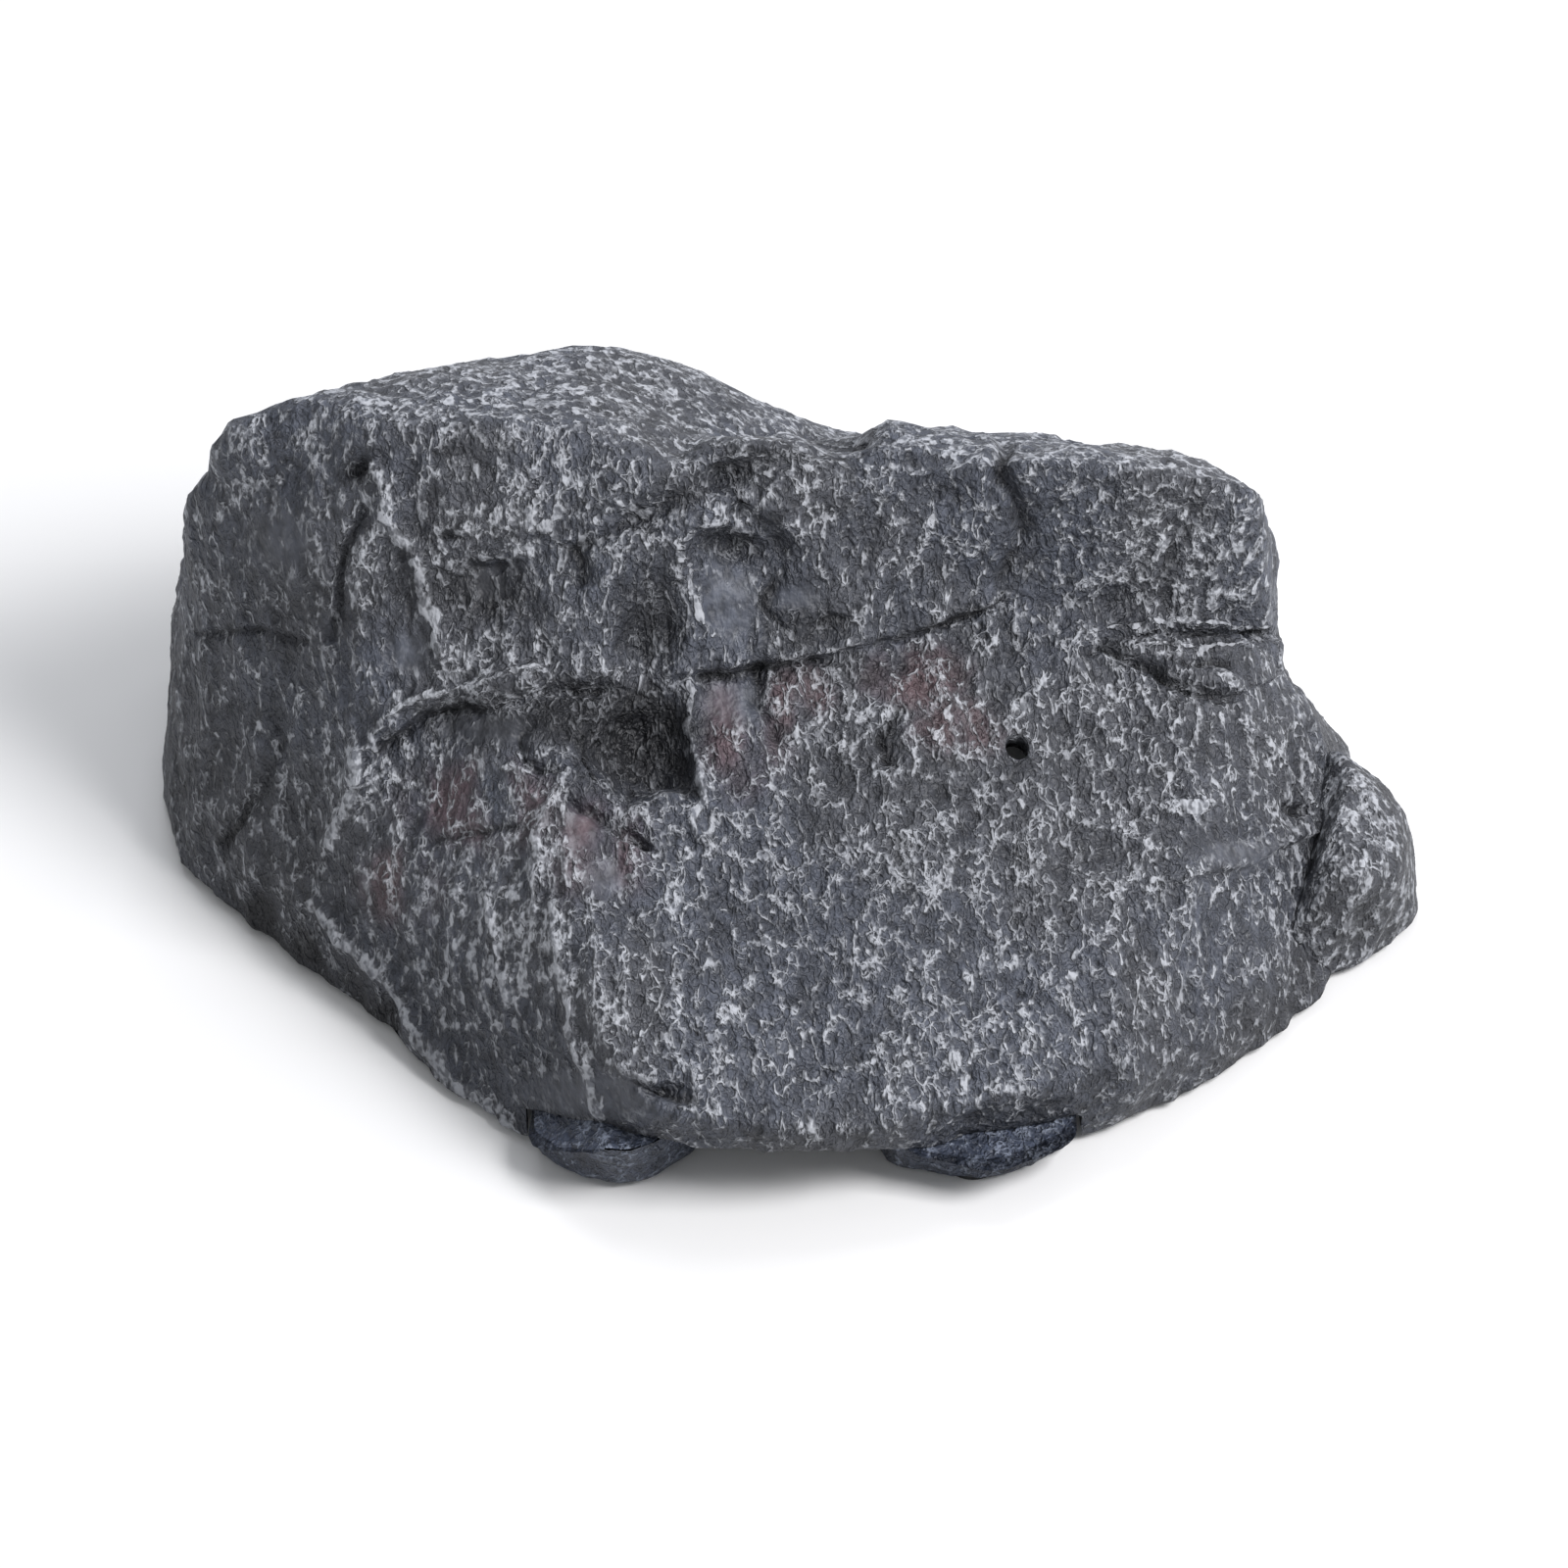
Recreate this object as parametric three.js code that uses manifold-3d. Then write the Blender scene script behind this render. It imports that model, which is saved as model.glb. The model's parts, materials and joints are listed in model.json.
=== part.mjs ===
// Resin rock cave for an aquarium or pond: a hollow cast boulder, open underneath, that stands on
// its rim. Millimetres, +Z up, the long side along X, the broad sloping front towards -Y, and the
// origin on the floor under the middle of the finished object.
import * as THREE from 'three';
import { mergeVertices } from 'three/addons/utils/BufferGeometryUtils.js';
import Module from 'manifold-3d';

const wasm = await Module();
wasm.setup();

// ---- Driving dimensions ----
const LENGTH = 250;              // overall, along X
const DEPTH = 181;               // overall, along Y
const HEIGHT = 104;              // overall, along Z
const WALL = 6;                  // cast wall
const BROW_DEPTH = 17;           // solid lip over the front mouth, front to back
const BROW_THICKNESS = 5;        // rock over the front mouth, at its outer edge
const GAP = 0.3;                 // between pieces that touch
const PAD_THICKNESS = 1.7;
const PAD_DIAMETER = 11;
const BOSS_MARGIN = 2.5;         // flat round each pad, inside the rim
const BOSS_HEIGHT = 9;
const FRONT_MOUTH_WIDTH = 108;   // raised stretch of the front rim, foot stones included
const LEFT_FOOT_WIDTH = 34;
const RIGHT_FOOT_WIDTH = 40;
const FOOT_SIDE_GAP = 1;         // between a foot stone and the rim beside it
const REAR_MOUTH_WIDTH = 66;
const REAR_MOUTH_HEIGHT = 46;
const VENT_DIAMETER = 5;         // air hole drilled square to the front slope

// ---- Shape of the boulder, drawn at its usual size and stretched to the sizes above ----
const DRAWN = new THREE.Vector3(249.4, 180.9, 103.3);
const STRETCH = new THREE.Vector3(LENGTH, DEPTH, HEIGHT).divide(DRAWN);
const RIM = PAD_THICKNESS + GAP; // height of the flat rim over the floor
const BLANK = 2 * Math.max(LENGTH, DEPTH, HEIGHT); // side of a block before its facets are cut
const SLAB = 4 * BLANK;          // side of the box that cuts a facet, past every corner of the blank
const SKIRT = 20;                // how far the cutters run below the rim

/** The direction of an azimuth (0 = front, 90 = right) and an elevation, in degrees. */
function direction(azimuth, elevation) {
  const a = THREE.MathUtils.degToRad(azimuth);
  const e = THREE.MathUtils.degToRad(elevation);
  return new THREE.Vector3(Math.sin(a) * Math.cos(e), -Math.cos(a) * Math.cos(e), Math.sin(e));
}

/** A facet plane from its azimuth, elevation and distance from the middle of the drawing's base,
 *  and the thickness of rock behind it. The stretch turns it with the points that lie on it. */
function facet(azimuth, elevation, distance, wall = WALL) {
  const normal = direction(azimuth, elevation).divide(STRETCH);
  const length = normal.length();
  return { normal: normal.divideScalar(length), distance: distance / length, wall };
}

/** A point of the drawing, moved to where the stretch puts it. */
function place(x, y, z) {
  return new THREE.Vector3(x, y, z).multiply(STRETCH);
}

const frontSlope = facet(20, 66, 55);
const brow = facet(-6, -12, 86, BROW_DEPTH);

// Each block is the space behind all of its facets. The boulder is the four blocks together.
const lowerBlock = [
  frontSlope,
  brow,
  facet(18, -12, 84.5, BROW_DEPTH), // brow, right half
  facet(-30, -6, 90, BROW_DEPTH),  // brow, left end
  facet(-50, 40, 80),              // front left slope
  facet(-47, 20, 85),              // left face
  facet(-47, 2, 91),               // front left wall
  facet(42, 2, 99),                // front right wall
  facet(46, 43, 81),               // right shoulder
  facet(70, 38, 91),               // slope down to the right end
  facet(86, 5, 110),               // right wall
  facet(122, 28, 100),             // right end, behind
  facet(150, 12, 106),
  facet(180, 5, 86),               // back wall
  facet(-155, 10, 100),
  facet(-120, 5, 120),
  facet(-109, 18, 141),            // left end, behind
  facet(-90, 2, 123.5),            // left wall
  facet(-72, 5, 113),
  facet(178, 45, 80),              // back slope
];
const upperLeftBlock = [
  facet(-4, 35, 45),               // cliff over the ledge
  facet(-47, 20, 84),              // left face
  facet(-46, 38, 95),              // worn top corner of the left face
  facet(-90, 2, 123.5),
  facet(-72, 5, 113),
  facet(-109, 18, 141),
  facet(-165, 44, 110),            // back edge of the top, left of the peak
  facet(152, 42, 86),              // back edge of the top, right of the peak
  facet(-176, 70, 105),            // top
  facet(120, 61, 78),              // top, down to the saddle
  facet(180, 12, 86),              // back wall
  facet(-150, 18, 108),
  facet(30, 10, -1),               // crease beside the middle block
  facet(90, 5, 30),
];
const middleBlock = [
  facet(10, 33, 36),               // cliff, left half
  facet(21, 25, 27),               // cliff, right half
  facet(85, 5, 52),
  facet(176, 46, 85),
  facet(180, 10, 80),
  facet(-60, 20, 48),
  facet(-115, 40, 80),             // crease beside the upper left block
];
const upperRightBlock = [
  facet(7, 10, 0.5),               // steep cliff
  facet(158, 65, 100),             // top, down to the right
  facet(-163, 68, 89),             // top, down to the saddle
  facet(50, 10, 68),               // worn right corner of the cliff
  facet(90, 3, 98.5),              // right wall
  facet(178, 45, 87.5),            // back slope under the crest
  facet(169, 44, 92),
  facet(150, 41, 105.5),
  facet(140, 20, 106),
  facet(180, 10, 84),
  facet(-95, 20, 60),
  facet(-115, 40, 80),
];
const boulderBlocks = [lowerBlock, upperLeftBlock, middleBlock, upperRightBlock];

// The knob of rock at the right end is the space behind these facets.
const endStoneBlock = [
  facet(88, 8, 125),
  facet(98, 8, 123),
  facet(52, 4, 107.5),
  facet(20, 10, 64),
  facet(60, 62, 71),
  facet(124, 30, 97.7),
  facet(138, 37, 79.4),
  facet(180, 5, 14),
  facet(-90, 34, -75.4),
];

// Hollows worn into the rock: a place on the surface, the way out of it, its radius and its depth.
const hollows = [
  { at: place(-27, -21, 58), out: direction(10, 60), radius: 17, depth: 7 },
  { at: place(-9, 9, 82), out: direction(12, 30), radius: 10, depth: 3.5 },
];

/** A closed three.js geometry as a solid that can be joined and cut. */
function toSolid(geometry) {
  const bare = geometry.clone();
  bare.deleteAttribute('normal');
  bare.deleteAttribute('uv');
  const merged = mergeVertices(bare);
  const vertProperties = Float32Array.from(merged.attributes.position.array);
  const triVerts = Uint32Array.from(merged.index.array);
  return new wasm.Manifold(new wasm.Mesh({ numProp: 3, vertProperties, triVerts }));
}

/** The solid's faces as a three.js geometry. */
function toGeometry(solid) {
  const mesh = solid.getMesh();
  const geometry = new THREE.BufferGeometry();
  geometry.setAttribute('position', new THREE.BufferAttribute(mesh.vertProperties, 3));
  geometry.setIndex(new THREE.BufferAttribute(mesh.triVerts, 1));
  return geometry;
}

/** Everything in front of a facet, moved `grow` mm out of the rock. */
function inFrontOf({ normal, distance }, grow) {
  const slab = new THREE.BoxGeometry(SLAB, SLAB, SLAB).translate(0, 0, SLAB / 2);
  const turn = new THREE.Quaternion().setFromUnitVectors(new THREE.Vector3(0, 0, 1), normal);
  const foot = normal.clone().multiplyScalar(distance + grow);
  return toSolid(slab.applyQuaternion(turn).translate(foot.x, foot.y, foot.z));
}

/** The space behind all the facets of a block, from a height up. `grow` gives, for each facet, how
 *  far the finished face lies outside the drawn one. */
function rockBlock(block, bottom, grow = () => 0) {
  const blank = new THREE.BoxGeometry(BLANK, BLANK, BLANK).translate(0, 0, bottom + BLANK / 2);
  let rock = toSolid(blank);
  for (const face of block) rock = rock.subtract(inFrontOf(face, grow(face)));
  return rock;
}

/** The four blocks as one solid. */
function boulder(bottom, grow) {
  const [first, ...others] = boulderBlocks.map((block) => rockBlock(block, bottom, grow));
  return others.reduce((rock, block) => rock.add(block), first);
}

/** A ball whose surface dips `depth` mm into the rock, larger by `extra` all round. */
function hollowBall({ at, out, radius, depth }, extra) {
  const centre = at.clone().addScaledVector(out, radius - depth);
  return toSolid(new THREE.SphereGeometry(radius + extra, 20, 14).translate(centre.x, centre.y, centre.z));
}

/** An upright round bar standing at (x, y) from one height to another. */
function uprightBar(x, y, radius, bottom, top) {
  const bar = new THREE.CylinderGeometry(radius, radius, top - bottom, 32).rotateX(Math.PI / 2);
  return bar.translate(x, y, (bottom + top) / 2);
}

/** An outline in X and Z, pushed along Y from one place to another. */
function cutterAlongY(outline, x, fromY, toY) {
  const prism = new THREE.ExtrudeGeometry(outline, { depth: toY - fromY, bevelEnabled: false });
  return toSolid(prism.rotateX(Math.PI / 2).translate(x, toY, 0));
}

const BOSS_RADIUS = PAD_DIAMETER / 2 + BOSS_MARGIN;
const FRONT_MOUTH_X = 3 * STRETCH.x;
const REAR_MOUTH_X = -12 * STRETCH.x;
const FRONT_Y = -120 * STRETCH.y;   // clear of the rock in front
const BACK_Y = 120 * STRETCH.y;     // clear of the rock behind
const plan = place(0, 30, 0);       // middle of the rim, which the rim pads are set out from

/** Where a plan direction from the middle of the rim meets the outer edge of the rim. */
function rimPoint(turn) {
  const ray = direction(turn, 0);
  const foot = plan.clone().setZ(RIM);
  const reaches = lowerBlock
    .filter((face) => face.normal.dot(ray) > 0)
    .map((face) => (face.distance - face.normal.dot(foot)) / face.normal.dot(ray));
  return foot.addScaledVector(ray, Math.min(...reaches));
}

/** Plan direction of the point of the back rim at a distance across. */
function turnToBackRim(x) {
  return THREE.MathUtils.radToDeg(Math.atan2(x - plan.x, plan.y - rimPoint(180).y));
}

// Four pads under the rim: two at the ends, and one at each side of the rear mouth.
const besideRearMouth = REAR_MOUTH_WIDTH / 2 + 2 * BOSS_RADIUS;
const rimPads = [
  { name: 'rim_pad_left', turn: -62 },
  { name: 'rim_pad_right', turn: 66 },
  { name: 'rim_pad_rear_right', turn: turnToBackRim(REAR_MOUTH_X + besideRearMouth) },
  { name: 'rim_pad_rear_left', turn: turnToBackRim(REAR_MOUTH_X - besideRearMouth) },
];

/** Middle of a rim pad: inside the outer face by the radius of its boss. */
function rimPadCentre(turn) {
  return rimPoint(turn).addScaledVector(direction(turn, 0), -BOSS_RADIUS);
}

/** Height at which the front slope meets the brow, on the middle line of the front mouth. */
function browEdgeHeight() {
  const [a, b] = [frontSlope, brow];
  const alongA = a.distance - a.normal.x * FRONT_MOUTH_X;
  const alongB = b.distance - b.normal.x * FRONT_MOUTH_X;
  return (a.normal.y * alongB - b.normal.y * alongA) / (a.normal.y * b.normal.z - b.normal.y * a.normal.z);
}

/** The space under the brow, as a cutter along Y: high on the left, low at the ends, and smaller by
 *  `inset` all round. The foot stones fill its two sides. */
function underBrow(inset) {
  const half = FRONT_MOUTH_WIDTH / 2 - inset;
  const height = browEdgeHeight() - BROW_THICKNESS;
  const outline = new THREE.Shape([
    new THREE.Vector2(-half, RIM - SKIRT),
    new THREE.Vector2(half, RIM - SKIRT),
    new THREE.Vector2(half, height * 0.52 - inset),
    new THREE.Vector2(half * 0.45, height * 0.66 - inset),
    new THREE.Vector2(half * 0.1, height - inset),
    new THREE.Vector2(-half * 0.72, height - inset),
    new THREE.Vector2(-half, height * 0.45 - inset),
  ]);
  return cutterAlongY(outline, FRONT_MOUTH_X, FRONT_Y, -62 * STRETCH.y);
}

/** The rear mouth, as a cutter along Y with a rough arch outline. */
function rearMouth() {
  const half = REAR_MOUTH_WIDTH / 2;
  const height = REAR_MOUTH_HEIGHT;
  const outline = new THREE.Shape([
    new THREE.Vector2(-half, RIM - SKIRT),
    new THREE.Vector2(half, RIM - SKIRT),
    new THREE.Vector2(half * 0.97, height * 0.55),
    new THREE.Vector2(half * 0.72, height * 0.88),
    new THREE.Vector2(half * 0.25, height),
    new THREE.Vector2(-half * 0.4, height * 0.97),
    new THREE.Vector2(-half * 0.82, height * 0.8),
    new THREE.Vector2(-half * 0.98, height * 0.45),
  ]);
  return cutterAlongY(outline, REAR_MOUTH_X, 45 * STRETCH.y, BACK_Y);
}

/** The air hole: a round bar square to the front slope, through the wall. */
function ventHole() {
  const entry = place(45, -13, 0);
  const { normal, distance } = frontSlope;
  entry.z = (distance - normal.x * entry.x - normal.y * entry.y) / normal.z;
  const bar = new THREE.CylinderGeometry(VENT_DIAMETER / 2, VENT_DIAMETER / 2, 4 * WALL, 32);
  bar.applyQuaternion(new THREE.Quaternion().setFromUnitVectors(new THREE.Vector3(0, 1, 0), normal));
  return toSolid(bar.translate(entry.x, entry.y, entry.z));
}

/** The hollow boulder: outer rock, less the cavity, the mouths and the air hole. */
function rockShell() {
  let outer = boulder(RIM);
  let cavity = boulder(RIM - SKIRT, (face) => -face.wall);
  for (const hollow of hollows) {
    outer = outer.subtract(hollowBall(hollow, 0));
    cavity = cavity.subtract(hollowBall(hollow, WALL));
  }
  let shell = outer.subtract(cavity);
  for (const { turn } of rimPads) {
    const { x, y } = rimPadCentre(turn);
    const boss = toSolid(uprightBar(x, y, BOSS_RADIUS, RIM, RIM + BOSS_HEIGHT));
    shell = shell.add(boss.intersect(outer));
  }
  return shell.subtract(underBrow(0)).subtract(rearMouth()).subtract(ventHole());
}

/** Middle of a foot stone that stands at one side of the front mouth. */
function footHeart(width, side) {
  const outward = FRONT_MOUTH_WIDTH / 2 - FOOT_SIDE_GAP - width / 2;
  return new THREE.Vector3(FRONT_MOUTH_X + side * outward, -79 * STRETCH.y, RIM + 7);
}

/** A foot stone under the brow, with the top that the brow is bonded to. */
function footStone(heart, width, toes) {
  const half = width / 2;
  const sides = [[90, -2, half], [-90, -2, half], [180, 0, 9]];
  const block = [...toes, ...sides].map(([azimuth, elevation, distance]) => {
    const normal = direction(azimuth, elevation);
    return { normal, distance: distance + normal.dot(heart) };
  });
  return rockBlock(block, RIM).intersect(underBrow(GAP));
}

/** The knob of rock at the right end, cut to lie against the boulder. */
function endStone() {
  return rockBlock(endStoneBlock, RIM).subtract(boulder(RIM - SKIRT, () => GAP));
}

/** A soft round pad between the floor and a flat of the rock. */
function pad(x, y) {
  return uprightBar(x, y, PAD_DIAMETER / 2, 0, PAD_THICKNESS);
}

const rockFinish = { color: 0x5d6067, roughness: 0.72, metalness: 0, flatShading: true };
const footFinish = { color: 0x4a505c, roughness: 0.6, metalness: 0, flatShading: true };
const padFinish = { color: 0x1d1e20, roughness: 0.85, metalness: 0 };

/** A named mesh with its own material. */
function piece(name, geometry, finish) {
  const mesh = new THREE.Mesh(geometry, new THREE.MeshStandardMaterial(finish));
  mesh.name = name;
  return mesh;
}

// Each toe facet of a foot stone: azimuth, elevation and distance from the stone's own middle.
const leftToes = [[0, -14, 9.5], [-35, -12, 10.5], [40, -12, 10]];
const rightToes = [[-12, -14, 8.5], [33, -12, 10.5], [-60, -8, 17]];
const leftHeart = footHeart(LEFT_FOOT_WIDTH, -1);
const rightHeart = footHeart(RIGHT_FOOT_WIDTH, 1);
const leftFoot = footStone(leftHeart, LEFT_FOOT_WIDTH, leftToes);
const rightFoot = footStone(rightHeart, RIGHT_FOOT_WIDTH, rightToes);

const group = new THREE.Group();
group.add(piece('rock_shell', toGeometry(rockShell()), rockFinish));
group.add(piece('foot_stone_left', toGeometry(leftFoot), footFinish));
group.add(piece('foot_stone_right', toGeometry(rightFoot), footFinish));
group.add(piece('end_stone', toGeometry(endStone()), rockFinish));
group.add(piece('foot_pad_left', pad(leftHeart.x, leftHeart.y), padFinish));
group.add(piece('foot_pad_right', pad(rightHeart.x, rightHeart.y), padFinish));
for (const { name, turn } of rimPads) {
  const { x, y } = rimPadCentre(turn);
  group.add(piece(name, pad(x, y), padFinish));
}

// Stand the finished object on the middle of its own box.
const box = new THREE.Box3().setFromObject(group, true);
const middle = box.getCenter(new THREE.Vector3());
group.position.set(-middle.x, -middle.y, -box.min.z);
group.updateMatrixWorld(true);

export default group;
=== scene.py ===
# %% [markdown]
# # A resin rock cave
# This is a hiding place for fish: a hollow boulder cast in polyester resin filled with stone powder, open
# underneath, painted by hand. A low mouth runs under the brow in front, between two foot stones, a wider
# mouth opens at the back, and a drilled hole lets trapped air out. We build each piece as a surface worked
# out with numpy, then paint it with nodes. All lengths in this lesson are millimetres until the last step.

# %% Load the frame
import json
import math

import bpy
import numpy as np
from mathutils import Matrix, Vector


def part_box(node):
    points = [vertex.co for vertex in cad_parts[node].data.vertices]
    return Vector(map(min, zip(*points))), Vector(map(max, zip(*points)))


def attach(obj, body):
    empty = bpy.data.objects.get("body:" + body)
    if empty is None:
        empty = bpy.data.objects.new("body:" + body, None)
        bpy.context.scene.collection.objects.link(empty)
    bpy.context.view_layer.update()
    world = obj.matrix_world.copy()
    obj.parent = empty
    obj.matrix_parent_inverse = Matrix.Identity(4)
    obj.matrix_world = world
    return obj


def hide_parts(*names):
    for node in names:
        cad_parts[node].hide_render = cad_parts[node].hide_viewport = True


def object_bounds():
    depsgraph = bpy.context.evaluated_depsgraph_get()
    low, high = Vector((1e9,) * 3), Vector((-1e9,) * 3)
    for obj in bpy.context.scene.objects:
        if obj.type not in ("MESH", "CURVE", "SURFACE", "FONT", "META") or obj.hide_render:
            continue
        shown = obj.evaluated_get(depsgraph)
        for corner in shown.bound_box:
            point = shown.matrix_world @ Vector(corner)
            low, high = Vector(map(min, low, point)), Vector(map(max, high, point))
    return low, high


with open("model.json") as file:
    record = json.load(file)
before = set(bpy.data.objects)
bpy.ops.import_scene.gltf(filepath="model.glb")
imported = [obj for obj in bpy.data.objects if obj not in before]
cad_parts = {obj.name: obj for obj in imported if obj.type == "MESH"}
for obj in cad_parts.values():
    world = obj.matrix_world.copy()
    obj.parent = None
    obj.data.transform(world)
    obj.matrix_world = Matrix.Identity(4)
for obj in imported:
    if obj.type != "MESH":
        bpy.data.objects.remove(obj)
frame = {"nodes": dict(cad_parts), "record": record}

cad_low, cad_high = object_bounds()
print("nodes in the frame:", len(frame["nodes"]))

# %% [markdown]
# ## The drawing and the frame
# The boulder is drawn round a handy origin, at its usual size. The frame's box says how large it really
# is, so one small function carries drawn points into the frame, in metres.

# %% From the drawing to the frame
MM = 0.001
DRAWN = np.array([249.4, 180.9, 103.3])       # overall size of the drawing
MIDDLE = np.array([1.175, -2.936, 0.0])       # middle of the drawing's box, on the floor
size = (np.array(cad_high) - np.array(cad_low)) / MM
stretch = size / DRAWN


def to_frame(points):
    """Stretch the drawn points to the frame's size, move the middle to the origin, and give metres."""
    return (np.asarray(points, float) * stretch - MIDDLE) * MM


def direction(azimuth, elevation):
    """Unit vectors: x = sin a cos e, y = -cos a cos e, z = sin e, with the angles in degrees."""
    a, e = np.radians(azimuth), np.radians(elevation)
    return np.stack([np.sin(a) * np.cos(e), -np.cos(a) * np.cos(e), np.sin(e) * np.ones_like(a)], -1)


def smooth(low, high, value):
    """A soft step: 0 below low, 1 above high, and 3t^2 - 2t^3 between."""
    t = np.clip((value - low) / (high - low), 0, 1)
    return t * t * (3 - 2 * t)


print("size of the object, mm:", size.round(1))

# %% [markdown]
# ## Noise
# Real rock is rough at every scale. Gradient noise gives smooth bumps of one size: each corner of a
# lattice gets a random slope, and a point blends the slopes round it. Adding the same noise at half the
# size and half the height, again and again, gives fractal roughness. Turning its zero lines into crests
# gives the sharp, branching ridges of broken slate.

# %% Noise on whole arrays
slopes = np.random.default_rng(7).normal(size=(256, 3))
slopes /= np.linalg.norm(slopes, axis=1)[:, None]
shuffle = np.random.default_rng(11).permutation(256)


def noise(points, wavelength, seed=0):
    """Gradient noise, -1 to 1: at each corner of the cell slope . offset, blended by 6t^5-15t^4+10t^3."""
    q = np.asarray(points, float) / wavelength + seed * 17.31
    cell = np.floor(q).astype(int)
    t = q - cell
    blend = t * t * t * (t * (t * 6 - 15) + 10)
    total = np.zeros(q.shape[:-1])
    for corner in np.ndindex(2, 2, 2):
        c = cell + corner
        pick = shuffle[(shuffle[(shuffle[c[..., 0] & 255] + c[..., 1]) & 255] + c[..., 2]) & 255]
        share = np.prod(np.where(corner, blend, 1 - blend), axis=-1)
        total += share * np.sum(slopes[pick] * (t - corner), axis=-1)
    return total * 1.6


def rough(points, wavelength, octaves, seed=0):
    """Fractal noise: each octave has half the wavelength and half the height of the one before."""
    return sum(noise(points, wavelength / 2**k, seed + k) / 2**k for k in range(octaves))


def crests(points, wavelength, octaves, seed=0):
    """Crest lines where the noise crosses zero: the sum of (1 - |noise|)^2 over the octaves, from 0 to 1."""
    heights = [(1 - np.abs(noise(points, wavelength / 2**k, seed + k)))**2 / 2**k for k in range(octaves)]
    return sum(heights) / sum(1 / 2**k for k in range(octaves))


probe = np.random.default_rng(1).uniform(-100, 100, (20000, 3))
print("noise spread:", noise(probe, 10).std().round(2), "crest mean:", crests(probe, 10, 3).mean().round(2))

# %% [markdown]
# ## The form of the boulder
# A sculptor blocks a rock out in flat facets first. Here each block is the space behind all its facets,
# and the boulder is four blocks together. From a point inside, the heart, every ray leaves the rock
# once, so the ray's reach describes the whole surface: within a block it is the shortest way to a facet,
# and over the blocks it is the longest. Soft versions of "shortest" and "longest" wear the edges round.

# %% Facets of the blocks: azimuth, elevation, distance, and wall where it isn't the usual one
WALL = 6.0
BROW = 17.0
lower_block = [
    (20, 66, 55), (-6, -12, 86, BROW), (18, -12, 84.5, BROW), (-30, -6, 90, BROW), (-50, 40, 80),
    (-47, 20, 85), (-47, 2, 91), (42, 2, 99), (46, 43, 81), (70, 38, 91), (86, 5, 110), (122, 28, 100),
    (150, 12, 106), (180, 5, 86), (-155, 10, 100), (-120, 5, 120), (-109, 18, 141), (-90, 2, 123.5),
    (-72, 5, 113), (178, 45, 80),
]
upper_left_block = [
    (-4, 35, 45), (-47, 20, 84), (-46, 38, 95), (-90, 2, 123.5), (-72, 5, 113), (-109, 18, 141),
    (-165, 44, 110), (152, 42, 86), (-176, 70, 105), (120, 61, 78), (180, 12, 86), (-150, 18, 108),
    (30, 10, -1), (90, 5, 30),
]
middle_block = [
    (10, 33, 36), (21, 25, 27), (85, 5, 52), (176, 46, 85), (180, 10, 80), (-60, 20, 48), (-115, 40, 80),
]
upper_right_block = [
    (7, 10, 0.5), (158, 65, 100), (-163, 68, 89), (50, 10, 68), (90, 3, 98.5), (178, 45, 87.5),
    (169, 44, 92), (150, 41, 105.5), (140, 20, 106), (180, 10, 84), (-95, 20, 60), (-115, 40, 80),
]
boulder_blocks = [lower_block, upper_left_block, middle_block, upper_right_block]
FAR = 400.0
EDGE = 2.0        # how far a worn edge between two facets is rounded
SEAM = 1.2        # the same where two blocks meet
HEART = np.array([0.0, 45.0, 5.0])


def soft_min(values, reach):
    """The smallest value, rounded off where two are close: m - k log(sum of exp((m - v) / k))."""
    least = values.min(-1, keepdims=True)
    return least[..., 0] - reach * np.log(np.exp((least - values) / reach).sum(-1))


def facet_arrays(block, inset):
    """Normals and distances of a block's facets, moved in by `inset` walls."""
    normals = np.array([direction(f[0], f[1]) for f in block])
    walls = np.array([f[3] if len(f) > 3 else WALL for f in block])
    return normals, np.array([f[2] for f in block]) - inset * walls


def block_reach(block, rays, heart, inset=0.0):
    """Way along each ray to the block's nearest facet: (distance - n.heart) / (n.ray), softly smallest."""
    normals, distances = facet_arrays(block, inset)
    facing = rays @ normals.T
    way = (distances - normals @ heart) / np.maximum(facing, 0.02)
    return soft_min(np.where(facing > 0.02, np.clip(way, 0, FAR), FAR), EDGE)


# Hollows worn into the rock: a place on the surface, the way out of it, its radius and its depth.
hollows = [((-27, -21, 58), (10, 60), 17.0, 7.0), ((-9, 9, 82), (12, 30), 10.0, 3.5)]


def ball_reach(rays, centre, radius):
    """Way along each ray to the near side of a ball: b - sqrt(b^2 - c), or FAR where it misses."""
    gap = centre - HEART
    b = rays @ gap
    under = b * b - gap @ gap + radius * radius
    return np.where((under > 0) & (b > 0), b - np.sqrt(np.maximum(under, 0)), FAR)


def boulder_reach(rays, inset=0.0):
    """Softly longest reach over the blocks, cut short where a ray runs into a hollow."""
    ways = np.stack([block_reach(block, rays, HEART, inset) for block in boulder_blocks], -1)
    reach = -soft_min(-ways, SEAM)
    for at, out, radius, depth in hollows:
        centre = np.array(at) + direction(*out) * (radius - depth)
        near = ball_reach(rays, centre, radius + inset * WALL)
        reach = soft_min(np.stack([reach, near], -1), EDGE)
    return reach


print("facets:", sum(len(block) for block in boulder_blocks))
print("way straight up, mm:", boulder_reach(np.array([[0, 0, 1.0]])).round(1))

# %% [markdown]
# ## A net of rings
# Rays spread from a pole, chosen in the middle of the front slope, to a rim. On each meridian the rings
# stand at even steps of surface length, so cliffs get as many points as flats. Near the pole there is no
# room for every point of a ring, so every second one is dropped, again and again, as in a knitted hat.

# %% Rings of rays, evenly spaced over the surface
FLOOR_RIM = 2.0   # height of the flat rim, over the pads


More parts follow.
